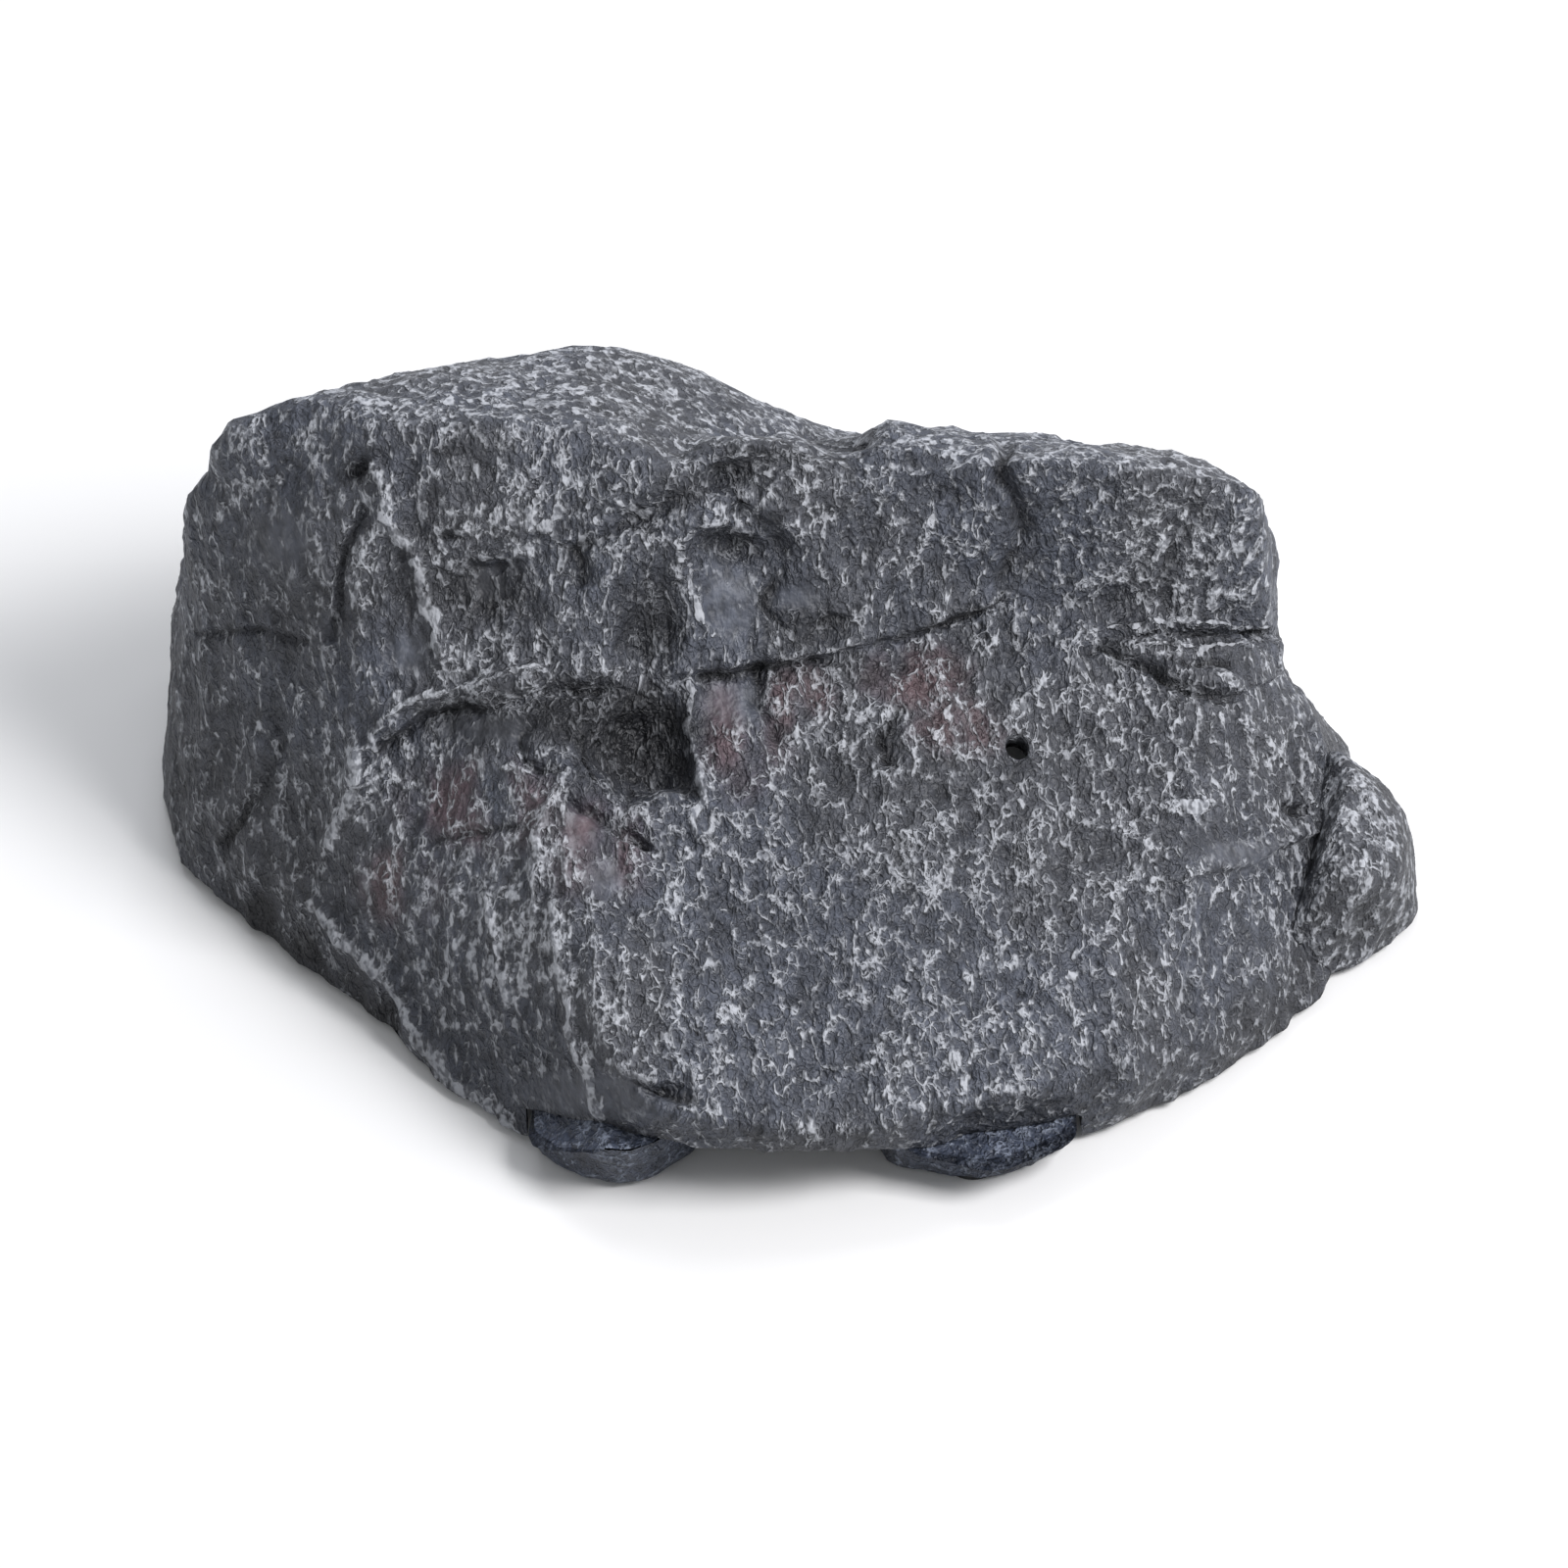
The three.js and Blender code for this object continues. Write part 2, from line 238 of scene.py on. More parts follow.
def rim_rays(azimuths, heart, reach):
    """Rays to the rim: the elevation at which the ray ends at the rim's height, found by repeating."""
    rays = direction(azimuths, 0.0)
    for _ in range(12):
        level = np.linalg.norm(rays[:, :2] * reach(rays)[:, None], axis=1)
        rays = direction(azimuths, np.degrees(np.arctan2(FLOOR_RIM - heart[2], level)))
    return rays


def even_azimuths(count, heart, reach, weight):
    """Azimuths that cut the rim into `count` pieces of even weighted length."""
    fine = np.linspace(-180, 180, 2881)
    rays = rim_rays(fine, heart, reach)
    rim = rays * reach(rays)[:, None]
    steps = np.linalg.norm(np.diff(rim, axis=0), axis=1) * weight((rim[1:] + rim[:-1]) / 2)
    walked = np.concatenate([[0], np.cumsum(steps)])
    return np.interp(np.arange(count) / count * walked[-1], walked, fine)


def arc_rays(pole, ends, share):
    """Rays on the great circle from the pole to each end ray, at a share of the way (ring by meridian)."""
    angle = np.arccos(np.clip(ends @ pole, -1, 1))
    across = ends - pole * (ends @ pole)[:, None]
    across /= np.linalg.norm(across, axis=1)[:, None]
    turn = share * angle
    return pole * np.cos(turn)[..., None] + across * np.sin(turn)[..., None]


def ring_net(heart, reach, pole, rings, columns, weight=lambda rim: 1.0):
    """Points on the surface, ring by meridian, with even steps of length from the pole to the rim."""
    ends = rim_rays(even_azimuths(columns, heart, reach, weight), heart, reach)
    samples = 4 * rings
    share = np.linspace(0, 1, samples)[:, None] * np.ones(columns)
    rays = arc_rays(pole, ends, share)
    points = rays * reach(rays.reshape(-1, 3)).reshape(share.shape)[..., None]
    walked = np.zeros(share.shape)
    walked[1:] = np.cumsum(np.linalg.norm(np.diff(points, axis=0), axis=2), axis=0)
    walked /= walked[-1]
    lane = 2.0 * np.arange(columns)
    wanted = (np.linspace(0, 1, rings)[:, None] + lane).T.ravel()
    even = np.interp(wanted, (walked + lane).T.ravel(), share.T.ravel()).reshape(columns, rings).T
    rays = arc_rays(pole, ends, even)
    return heart + rays * reach(rays.reshape(-1, 3)).reshape(even.shape)[..., None]


def net_normals(net):
    """Unit normals of a ring net, from the cross product of the steps along and across the rings."""
    along = np.roll(net, -1, axis=1) - np.roll(net, 1, axis=1)
    down = np.gradient(net, axis=0)
    normals = np.cross(along, down)
    normals[0] = normals[1].mean(0)
    normals /= np.maximum(np.linalg.norm(normals, axis=2), 1e-9)[..., None]
    return -normals


def net_strides(net, least):
    """For each ring, how many points to step: halved, ring by ring, once the spacing allows it."""
    around = np.linalg.norm(np.roll(net, -1, axis=1) - net, axis=2).mean(1)
    strides = np.full(len(net), 16)
    for ring in range(1, len(net)):
        roomy = around[ring] * strides[ring - 1] / 2 > least
        strides[ring] = max(strides[ring - 1] // 2, 1) if roomy else strides[ring - 1]
    return strides


def net_triangles(strides, columns):
    """Triangles between neighbouring rings, as pairs of (ring, column), plus a fan round the pole."""
    faces = []
    for ring in range(1, len(strides)):
        inner, outer = strides[ring - 1], strides[ring]
        if ring == 1:
            a = np.arange(0, columns, outer)
            b = (a + outer) % columns
            faces.append([(0, 0 * a), (1, a), (1, b)])
            continue
        a = np.arange(0, columns, inner)
        b = (a + inner) % columns
        if inner == outer:
            faces.append([(ring - 1, a), (ring, a), (ring, b)])
            faces.append([(ring - 1, a), (ring, b), (ring - 1, b)])
        else:
            m = a + outer
            faces.append([(ring - 1, a), (ring, a), (ring, m)])
            faces.append([(ring - 1, a), (ring, m), (ring - 1, b)])
            faces.append([(ring - 1, b), (ring, m), (ring, b)])
    return np.concatenate([np.stack([r * columns + c for r, c in face], -1) for face in faces])


pole = direction(-10, 58)


def front_first(rim):
    """Weights that give the front of the rim more of the points than the back."""
    return np.where(rim[:, 1] < 10, 1.15, 0.9)


outer_form = ring_net(HEART, boulder_reach, pole, 168, 640, front_first)
print("rings and meridians:", outer_form.shape[:2])
print("step down a meridian, mm:", np.linalg.norm(np.diff(outer_form, axis=0), axis=2).mean().round(2))

# %% [markdown]
# ## Relief
# The broken face of slate has three kinds of detail: broad swells, crumpled crests that run downhill, and
# single events such as cracks, ledges and chips. The swells and crests come from noise; the events are
# drawn one by one. We place them on a drawing plate held square to the front slope: p runs right and q
# runs up the slope, q = y + z.

# %% Strokes on the plate
DOWNHILL = np.array([0.0, -1.0, -1.0]) / math.sqrt(2)
UPHILL_FACE = np.array([0.0, -1.0, 1.0]) / math.sqrt(2)   # square to the plate, out of the rock
# Surfaces facing this way, the top band, get painted light.
PAINTED_LIGHT_FACE = direction(180, 60)     # the way the top band faces
LONG = 2.1        # how much longer the crests are downhill than across


def plate(points):
    """Plate coordinates of points: p = x and q = y + z."""
    return np.stack([points[..., 0], points[..., 1] + points[..., 2]], -1)


def to_stroke(places, stroke):
    """Distance from each place to a line of points: the nearest spot on any of its pieces."""
    nearest = np.full(places.shape[:-1], FAR)
    for start, end in zip(np.array(stroke[:-1], float), np.array(stroke[1:], float)):
        run = end - start
        share = np.clip((places - start) @ run / (run @ run), 0, 1)
        nearest = np.minimum(nearest, np.linalg.norm(places - start - share[..., None] * run, axis=-1))
    return nearest


def bell(distance, width):
    """A soft bump, e^-(d/w)^2."""
    return np.exp(-(distance / width) ** 2)


def spot(places, p, q, half_p, half_q):
    """A soft oval spot, 1 in the middle: e^-((dp/a)^2 + (dq/b)^2)^2."""
    way = ((places[..., 0] - p) / half_p) ** 2 + ((places[..., 1] - q) / half_q) ** 2
    return np.exp(-way * way)


print("worn edge on the plate:", plate(np.array([0.0, -30.0, 40.0])))

# %% Cracks: width, depth and the line they run along
cracks = [
    (1.6, 2.4, [(-79, 35), (-71, 44), (-60, 46), (-48, 51), (-36, 51)]),
    (1.1, 1.4, [(-17, 53), (-9, 56), (-3, 57), (5, 59)]),
    (3.0, 3.0, [(14, 121), (4, 116), (-8, 111), (-18, 104), (-30, 97)]),
    (0.9, 1.1, [(17, 64), (30, 69), (40, 75), (44, 80)]),
    (0.9, 2.0, [(-51, 42), (-53, 38), (-52, 32), (-49, 29), (-44, 28)]),
    (1.2, 2.2, [(-43, 21), (-38, 17), (-33, 12), (-28, 8)]),
    (1.2, 1.8, [(-27, 26), (-22, 25), (-18, 22)]),
    (1.2, 1.8, [(-31, 22), (-32, 15), (-28, 8)]),
    (1.1, 1.6, [(-6, 56), (-5, 46), (-4, 42), (-1, 38)]),
    (1.3, 2.4, [(42, 119), (42, 108), (45, 99), (46, 92)]),
    (1.0, 1.2, [(44, 88), (42, 76), (43, 66), (48, 60)]),
    (1.0, 2.0, [(-84, 99), (-87, 90), (-89, 76), (-90, 64)]),
    (1.0, 1.5, [(77, 95), (75, 86), (74, 80)]),
    (1.1, 1.7, [(74, 78), (75, 72), (74, 66)]),
    (0.9, 2.2, [(60, 62), (62, 65), (78, 66), (95, 66.5)]),
    (0.9, 2.2, [(62, 64), (71, 56), (80, 50), (87, 48)]),
    (0.7, 1.0, [(75, 65), (74.5, 58)]),
    (0.8, 1.2, [(77, 57), (86, 56)]),
    (1.1, 1.8, [(-24, 103), (-33, 95), (-42, 88), (-40, 80)]),
    (1.0, 1.5, [(-14, 112), (-10, 106), (-9, 100)]),
    (1.4, 1.8, [(-2, 92), (-1, 84), (-4, 72), (1, 66)]),
    (1.0, 1.4, [(21, 45), (18, 36), (20, 30)]),
    (1.2, 1.6, [(-29, -57), (-24, -59), (-20, -62)]),
    (0.9, 1.0, [(-69, 8), (-60, 12), (-52, 13)]),
    (1.0, 1.2, [(-118, 66), (-104, 67), (-96, 64)]),
    (1.0, 1.2, [(-112, 8), (-104, 22), (-101, 40)]),
    (5.0, 1.6, [(-106, -10), (-87, -37), (-73, -60), (-60, -76)]),
]
print(len(cracks), "cracks, the deepest", max(crack[1] for crack in cracks), "mm")

# %% Worn ridges, which catch the brush: width, height and line
ridges = [
    (1.4, 1.2, [(-82, 36), (-79, 44), (-72, 49), (-62, 51), (-50, 56)]),
    (2.3, 1.6, [(-90, 8), (-85, 22), (-84, 34)]),
    (2.0, 1.9, [(-80, 112), (-78, 102), (-77, 93), (-72, 85), (-70, 72), (-68, 60)]),
    (1.7, 2.0, [(-22, 82), (-22, 91), (-18, 97), (-12, 98), (-7, 94)]),
    (1.0, 1.0, [(-21, 91), (-19, 78), (-15, 66)]),
    (1.5, 1.6, [(-20, 51), (-19, 40), (-17, 29), (-17, 20), (-19, 13), (-16, 8)]),
    (1.4, 1.4, [(-43, 28), (-45, 20), (-49, 12), (-49, -12)]),
    (0.9, 0.9, [(-43, 22), (-44, 8), (-43, -4)]),
    (1.4, 1.4, [(-45, -8), (-44, -26), (-42, -44), (-39, -52), (-36, -66)]),
    (0.9, 0.9, [(-58, -6), (-56, -26), (-50, -44)]),
    (1.0, 1.0, [(-26, 101), (-34, 93), (-41, 90)]),
    (0.9, 0.9, [(-51, 112), (-48, 98), (-44, 92)]),
    (0.9, 0.9, [(-36, 112), (-34, 103), (-29, 99)]),
    (0.9, 0.9, [(-71, 104), (-68, 96), (-67, 88)]),
    (1.0, 0.9, [(-8, 108), (4, 112), (18, 112)]),
    (1.0, 0.8, [(86, 92), (84, 84), (84, 74)]),
    (0.9, 0.8, [(29, 56), (31, 46), (28, 36)]),
    (0.8, 0.7, [(10, 56), (12, 44), (10, 34)]),
    (1.0, 0.9, [(88, 42), (97, 33), (103, 18)]),
    (2.2, 1.8, [(-94, -8), (-77, -34), (-65, -58), (-52, -71)]),
    (0.9, 0.9, [(64, 68.5), (78, 69), (95, 69)]),
    (0.8, 0.8, [(68, 62), (78, 61.5), (90, 62)]),
]
print(len(ridges), "ridges")

# %% Steps: the edge's line, how far the rock above it stands proud, and the distance it fades over
steps = [
    ([(-83, 24), (-79, 35), (-71, 44), (-60, 46), (-48, 51), (-36, 51)], 3.2, 16.0),
    ([(-20, 54), (-9, 56), (-3, 57), (8, 60), (18, 64), (30, 69), (42, 76)], 2.6, 16.0),
    ([(-38, 4), (-20, 22), (-8, 8)], 1.2, 9.0),
    ([(46, 30), (62, 41), (76, 36), (92, 26)], -0.8, 10.0),
    ([(76, -3), (88, 1), (104, 11)], 2.4, 10.0),
    ([(-75, -34), (-52, -46), (-30, -57)], 0.9, 10.0),
    ([(52, 112), (70, 106), (88, 98)], 0.9, 8.0),
]
print(len(steps), "steps")

# %% Spots: middle and half sizes, then a depth or a strength
# Calm spots, where the rock split clean.
calm_spots = [
    (-12, 75, 5.5, 12), (-11, 47, 6, 7), (-40, 12, 5, 8), (-38, -61, 15, 7), (-58, 40, 12, 4),
    (-35, -2, 4, 6), (88, 5, 7, 4), (-100, 92, 6, 8), (-74, 60, 5, 6), (2, 76, 5, 4), (-58, 80, 5, 6),
]
# Pits, and knobs where the depth is negative.
pits = [
    (-106, 118, 9, 8, -3.5), (9, 121, 7, 6, 4.0), (22, 120, 9, 6, -2.2), (-84, 111, 3.2, 2.6, 2.2),
    (99, 17, 2.8, 2.4, 2.4), (78, 18, 4.5, 3, -1.6), (-60, 78, 12, 9, 1.6), (-50, 100, 14, 9, -1.4),
    (-24, -58, 3.5, 1.6, 1.6), (-29, 33, 9, 12, 3.6), (-10, 90, 5, 4, 2.0), (8, 68, 3.5, 3.5, 1.5),
    (-56, 84, 2.5, 2.5, 1.2), (-66, 93, 2.5, 1.6, 1.2), (-27, 70, 7, 13, 2.4), (72, 28, 2.0, 2.0, 0.8),
]
# Rust glazes.
rust_spots = [
    (-60, 19, 14, 12), (-37, 6, 9, 14), (-9, 38, 9, 15), (25, 54, 10, 9), (2, 48, 7, 9), (-76, -4, 8, 10),
    (34, 40, 9, 8),
]
# Painted light with chalky dust: lighter patches on the lower left, the right end and the upper blocks.
dust_and_painted_light_spots = [
    (-58, -24, 20, 30, 0.55), (-84, 30, 10, 12, 0.5), (80, 90, 22, 16, 0.5), (108, 10, 18, 34, 0.5),
    (78, 18, 4, 3, 0.9), (-50, 94, 24, 22, 0.42), (20, 96, 16, 14, 0.3), (-100, 110, 14, 10, 0.25),
    (70, 0, 24, 26, 0.2), (-18, 98, 8, 6, 0.4),
]
# Dark wash with painted shade: darker in the recess, under the ledges and on the left face.
wash_and_painted_shade_spots = [
    (-29, 37, 13, 16, 1.0), (-42, 42, 13, 8, 0.85), (-10, 91, 7, 6, 0.8), (-28, 71, 7, 14, 0.75),
    (-60, 40, 14, 5, 0.3), (10, 56, 14, 5, 0.4), (-92, 70, 12, 16, 0.35), (-84, 110, 4, 4, 0.9),
    (4, 70, 8, 8, 0.4), (56, 74, 12, 8, 0.3), (101, 0, 5, 16, 0.2), (46, 96, 4, 14, 0.5),
    (20, 2, 40, 40, 0.14),
]
print(len(pits), "pits and knobs,", len(rust_spots) + len(dust_and_painted_light_spots) + len(wash_and_painted_shade_spots), "tints")

# %% Marks drawn on the plate
CHIP_HEIGHT = 2.3
STEP_ENDS = 6.0     # a step dies out over this length past its two ends


def downhill_coordinates(points):
    """Points with the downhill direction shrunk by LONG, so that noise on them is long downhill."""
    along = points @ DOWNHILL
    return points - DOWNHILL * (along * (1 - 1 / LONG))[..., None]


def chip(places):
    """The wedge of slate that split away on the right: 1 between its straight top and slanting foot."""
    p, q = places[..., 0], places[..., 1]
    foot = np.interp(p, [61, 71, 80, 87, 96], [64.5, 56, 50, 48, 54])
    return smooth(0, 0.8, q - foot) * smooth(0, 0.8, 66 - q) * smooth(61, 63, p) * smooth(99, 95, p)


def step_heights(places):
    """The rock above each step's line stands proud by its height, fading as e^-(distance / fade)."""
    across, up = places[..., 0], places[..., 1]
    total = np.zeros(across.shape)
    for line, proud, fade in steps:
        first, last = line[0][0], line[-1][0]
        above = up - np.interp(across, [p for p, _ in line], [q for _, q in line])
        ends = smooth(first - STEP_ENDS, first, across) * smooth(last + STEP_ENDS, last, across)
        total += proud * ends * smooth(-0.6, 0.9, above) * np.exp(-np.maximum(above, 0) / fade)
    return total


def drawn_marks(points, bent, front):
    """The marks' height in mm, and how much wash and painted shade, brush and painted light, calm and rust
    they give each point, from 0 to 1.
    """
    wander = [1.3 * noise(points, 8, 31 + k) + 0.8 * noise(points, 3.6, 35 + k) for k in (0, 1)]
    places = plate(points) + np.stack(wander, -1)
    vary = 0.62 + 0.55 * noise(points, 9, 39)
    height = step_heights(places) + CHIP_HEIGHT * chip(places)
    sunk_and_painted_shade, brushed_and_painted_light, calm, rust = np.zeros((4, *front.shape))
    # Cracks and pits darken the wash guide: partly dark wash, partly painted shade in the creases and
    # hollows.
    for width, depth, line in cracks:
        groove = bell(to_stroke(places, line), width * (0.6 + vary))
        height -= depth * groove
        sunk_and_painted_shade = np.maximum(sunk_and_painted_shade, np.clip(vary, 0, 1) * groove)
    for width, proud, line in ridges:
        rib = bell(to_stroke(places, line), width)
        height += proud * rib
        brushed_and_painted_light = np.maximum(brushed_and_painted_light, rib**1.7)
    for p, q, half_p, half_q, depth in pits:
        pit = spot(places, p, q, half_p, half_q)
        height -= depth * pit
        sunk_and_painted_shade = np.maximum(sunk_and_painted_shade, 0.8 * pit * (depth > 0))
    for p, q, half_p, half_q in calm_spots:
        calm = np.maximum(calm, spot(places, p, q, half_p, half_q))
    for p, q, half_p, half_q in rust_spots:
        rust = np.maximum(rust, spot(places, p, q, half_p, half_q))
    # Painted light and dust: these spots lighten the brush guide.
    for p, q, half_p, half_q, strength in dust_and_painted_light_spots:
        brushed_and_painted_light = np.maximum(brushed_and_painted_light, strength * spot(places, p, q, half_p, half_q))
    # Dark wash and painted shade: these spots darken the wash guide.
    for p, q, half_p, half_q, strength in wash_and_painted_shade_spots:
        sunk_and_painted_shade = np.maximum(sunk_and_painted_shade, strength * spot(places, p, q, half_p, half_q))
    rust *= smooth(-0.7, 0.3, noise(bent, 8, 50))
    return [part * front for part in (height, sunk_and_painted_shade, brushed_and_painted_light, calm, rust)]


# %% Relief over the whole boulder
BROAD_SWELL, CLOSE_SWELL = 1.5, 1.3
CREST_HEIGHT, CREST_WAVE = 1.7, 10.5
GRIT_HEIGHT, GRIT_WAVE = 0.35, 4.2
BEND = 2.4          # how far the crests wander sideways


def relief(points, normals, seed=0, marked=True):
    """Height to add along the normal: swells, crests, grit and marks. With it, the guides for the paint."""
    bent = downhill_coordinates(points)
    bent = bent + BEND * np.stack([noise(bent, 16, seed + 20 + k) for k in range(3)], -1)
    swell = BROAD_SWELL * rough(points, 46, 2, seed + 1) + CLOSE_SWELL * rough(bent, 19, 2, seed + 4)
    crest = crests(bent, CREST_WAVE, 3, seed + 7)
    grit = rough(bent, GRIT_WAVE, 2, seed + 12)
    front = smooth(-0.1, 0.25, normals @ UPHILL_FACE)
    # Surfaces facing up and back, as the top band does, get lighter paint through the brush guide: painted
    # light.
    top = smooth(0.75, 0.95, normals @ PAINTED_LIGHT_FACE)
    steep = smooth(0.75, 0.35, normals[..., 2])
    # Low walls that face sideways, under 42 mm, are darkened through the wash guide: painted shade.
    wall = smooth(0.60, 0.92, np.hypot(normals[..., 0], normals[..., 1])) * smooth(42, 14, points[..., 2])
    marks, sunk_and_painted_shade, brushed_and_painted_light, calm, rust = drawn_marks(points, bent, front) if marked else np.zeros((5, *front.shape))
    texture = (CREST_HEIGHT * (crest - 0.62) + GRIT_HEIGHT * grit) * (1 - 0.8 * calm)
    guides = {
        "crest": np.clip((crest - 0.5) / 0.45 + 0.25 * grit - 0.5 * steep, -0.5, 1) * (1 - 0.85 * calm),
        # Brush guide: dry brush on worn ridges and dust, with painted light on the top band and at the dust
        # spots.
        "brushed_and_painted_light": np.maximum(brushed_and_painted_light, 0.55 * top),
        # Wash guide: dark wash, with painted shade in cracks, pits, troughs between crests and on low walls.
        "wash_and_painted_shade": np.clip(sunk_and_painted_shade + 0.35 * wall + smooth(0.5, 0.34, crest) * 0.3 * (1 - calm), 0, 1),
        "calm": np.maximum(calm, 0.4 * top),
        "rust": rust,
    }
    return swell + texture + marks, guides


form_normals = net_normals(outer_form)
height, guides = relief(outer_form, form_normals)
outer_net = outer_form + form_normals * height[..., None]
outer_net[0] = outer_net[0].mean(0)
print("relief from", height.min().round(1), "to", height.max().round(1), "mm, spread", height.std().round(2))

# %% [markdown]
# ## The hollow casting
# The mould is filled with resin, swirled and drained, which leaves a wall of even thickness. The inside
# is the same net of rays with every facet moved in by the wall, much smoother because nobody sculpted it.
# A flat strip joins the two at the bottom, where the casting was ground level on a belt.

# %% The inside and the rim
BOSS_RADIUS = 8.0
BOSS_HEIGHT = 9.0
pad_nodes = sorted(name for name in frame["nodes"] if "pad" in name)
pad_boxes = {name: [np.array(c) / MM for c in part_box(name)] for name in pad_nodes}
pad_places = {name: (low + high) / 2 for name, (low, high) in pad_boxes.items()}
drawn_bosses = [(place + MIDDLE) / stretch for name, place in pad_places.items() if name.startswith("rim")]


def inside_reach(rays):
    """Reach to the inner wall, cut short at the round bosses that carry the rim pads."""
    reach = boulder_reach(rays, 1.0)
    for boss in drawn_bosses:
        flat = np.linalg.norm(rays[:, :2], axis=1)
        gap = boss[:2] - HEART[:2]
        b = rays[:, :2] @ gap / flat
        under = b * b - gap @ gap + BOSS_RADIUS**2
        hits = (under > 0) & (b > 0)
        near = np.where(hits, b - np.sqrt(np.maximum(under, 0)), FAR) / flat
        height = HEART[2] + near * rays[:, 2]
        near = near + FAR * smooth(BOSS_HEIGHT, BOSS_HEIGHT + 4, height)
        reach = soft_min(np.stack([reach, near], -1), 0.8)
    return reach


inner_form = ring_net(HEART, inside_reach, direction(0, 75), 64, 320)
inner_normals = net_normals(inner_form)
fade = smooth(FLOOR_RIM + 1, FLOOR_RIM + 12, inner_form[..., 2])
inner_net = inner_form + inner_normals * (0.5 * rough(inner_form, 24, 2, 40) * fade)[..., None]
inner_net[0] = inner_net[0].mean(0)


def level_rim(net, rows=6):
    """Bring the last ring exactly to the rim's height, easing the few rings above it."""
    ease = np.linspace(0, 1, rows)[:, None]
    drop = (FLOOR_RIM - net[-1, :, 2]) * ease
    net[-rows:, :, 2] += drop
    net[..., 2] = np.maximum(net[..., 2], FLOOR_RIM)
    return net


outer_net = level_rim(outer_net)
inner_net = level_rim(inner_net)


def rim_triangles(outer_ring, inner_ring):
    """The flat strip between two rings of point numbers, whose counts are as two to one."""
    a = np.arange(len(inner_ring))
    b = (a + 1) % len(inner_ring)
    first, second, third = outer_ring[2 * a], outer_ring[2 * a + 1], outer_ring[2 * b]
    here, there = inner_ring[a], inner_ring[b]
    return np.concatenate([
        np.stack([first, here, second], -1), np.stack([second, here, there], -1),
        np.stack([second, there, third], -1),
    ])


print("inner net:", inner_form.shape[:2], "bosses:", len(drawn_bosses))

# %% One closed mesh
GUIDES = ["crest", "brushed_and_painted_light", "wash_and_painted_shade", "calm", "rust", "inside"]      # what the paint is told at each point
OUTER_SPACING, INNER_SPACING = 0.75, 1.5


def make_piece(name, points, faces, guides):
    """A mesh object from drawn points and triangles, without the points that no face uses."""
    used, faces = np.unique(faces, return_inverse=True)
    faces = faces.reshape(-1, 3)
    mesh = bpy.data.meshes.new(name)
    mesh.from_pydata(to_frame(points[used]).tolist(), [], faces.tolist())
    for guide in GUIDES:
        values = np.broadcast_to(guides.get(guide, 0.0), len(points))[used].astype(np.float32)
        mesh.attributes.new(guide, "FLOAT", "POINT").data.foreach_set("value", values)
    mesh.shade_smooth()
    piece = bpy.data.objects.new(name, mesh)
    bpy.context.scene.collection.objects.link(piece)
    return piece


def volume(piece):
    """Signed volume in cubic centimetres: the sum of a . (b x c) / 6 over the triangles."""
    mesh = piece.data
    mesh.calc_loop_triangles()
    points = np.empty(len(mesh.vertices) * 3)
    mesh.vertices.foreach_get("co", points)
    corners = np.empty(len(mesh.loop_triangles) * 3, int)
    mesh.loop_triangles.foreach_get("vertices", corners)
    a, b, c = np.moveaxis(points.reshape(-1, 3)[corners.reshape(-1, 3)], 1, 0)
    return np.sum(a * np.cross(b, c)) / 6 * 1e6


rings, columns = outer_net.shape[:2]
inner_rings, inner_columns = inner_net.shape[:2]
outer_faces = net_triangles(net_strides(outer_net, OUTER_SPACING), columns)
inner_faces = net_triangles(net_strides(inner_net, INNER_SPACING), inner_columns)[:, ::-1] + rings * columns
outer_rim = (rings - 1) * columns + np.arange(columns)
inner_rim = rings * columns + (inner_rings - 1) * inner_columns + np.arange(inner_columns)
shell_points = np.concatenate([outer_net.reshape(-1, 3), inner_net.reshape(-1, 3)])
shell_faces = np.concatenate([outer_faces, inner_faces, rim_triangles(outer_rim, inner_rim)])
shell_guides = {k: np.concatenate([v.ravel(), np.zeros(inner_net[..., 0].size)]) for k, v in guides.items()}
shell_guides["inside"] = np.concatenate([np.zeros(rings * columns), np.ones(inner_rings * inner_columns)])
rock = make_piece("cast_boulder", shell_points, shell_faces, shell_guides)
print("boulder triangles:", len(rock.data.polygons), "volume, cc:", volume(rock).round(1))

# %% [markdown]
# ## Mouths and the vent
# On the real casting the mouths are part of the mould, and the vent is drilled afterwards. Here a rough
# bar is pushed through the wall for each, and Blender's Boolean takes its shape away, so that the cut
# faces keep the bar's roughness.

# %% Bars that cut openings
GAP = 0.3
FRONT_MOUTH_X, FRONT_HALF = 3.0, 54.0
REAR_MOUTH_X, REAR_HALF, REAR_TOP = -12.0, 33.0, 46.0
SKIRT = 20.0
brow_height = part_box("foot_stone_left")[1].z / MM / stretch[2] + GAP
front_outline = [
    (-FRONT_HALF, FLOOR_RIM - SKIRT), (FRONT_HALF, FLOOR_RIM - SKIRT), (FRONT_HALF, 0.52 * brow_height),
    (0.45 * FRONT_HALF, 0.66 * brow_height), (0.1 * FRONT_HALF, brow_height),
    (-0.72 * FRONT_HALF, brow_height), (-FRONT_HALF, 0.45 * brow_height),
]
rear_outline = [
    (-REAR_HALF, FLOOR_RIM - SKIRT), (REAR_HALF, FLOOR_RIM - SKIRT), (0.97 * REAR_HALF, 0.55 * REAR_TOP),
    (0.72 * REAR_HALF, 0.88 * REAR_TOP), (0.25 * REAR_HALF, REAR_TOP), (-0.4 * REAR_HALF, 0.97 * REAR_TOP),
    (-0.82 * REAR_HALF, 0.8 * REAR_TOP), (-0.98 * REAR_HALF, 0.45 * REAR_TOP),
]


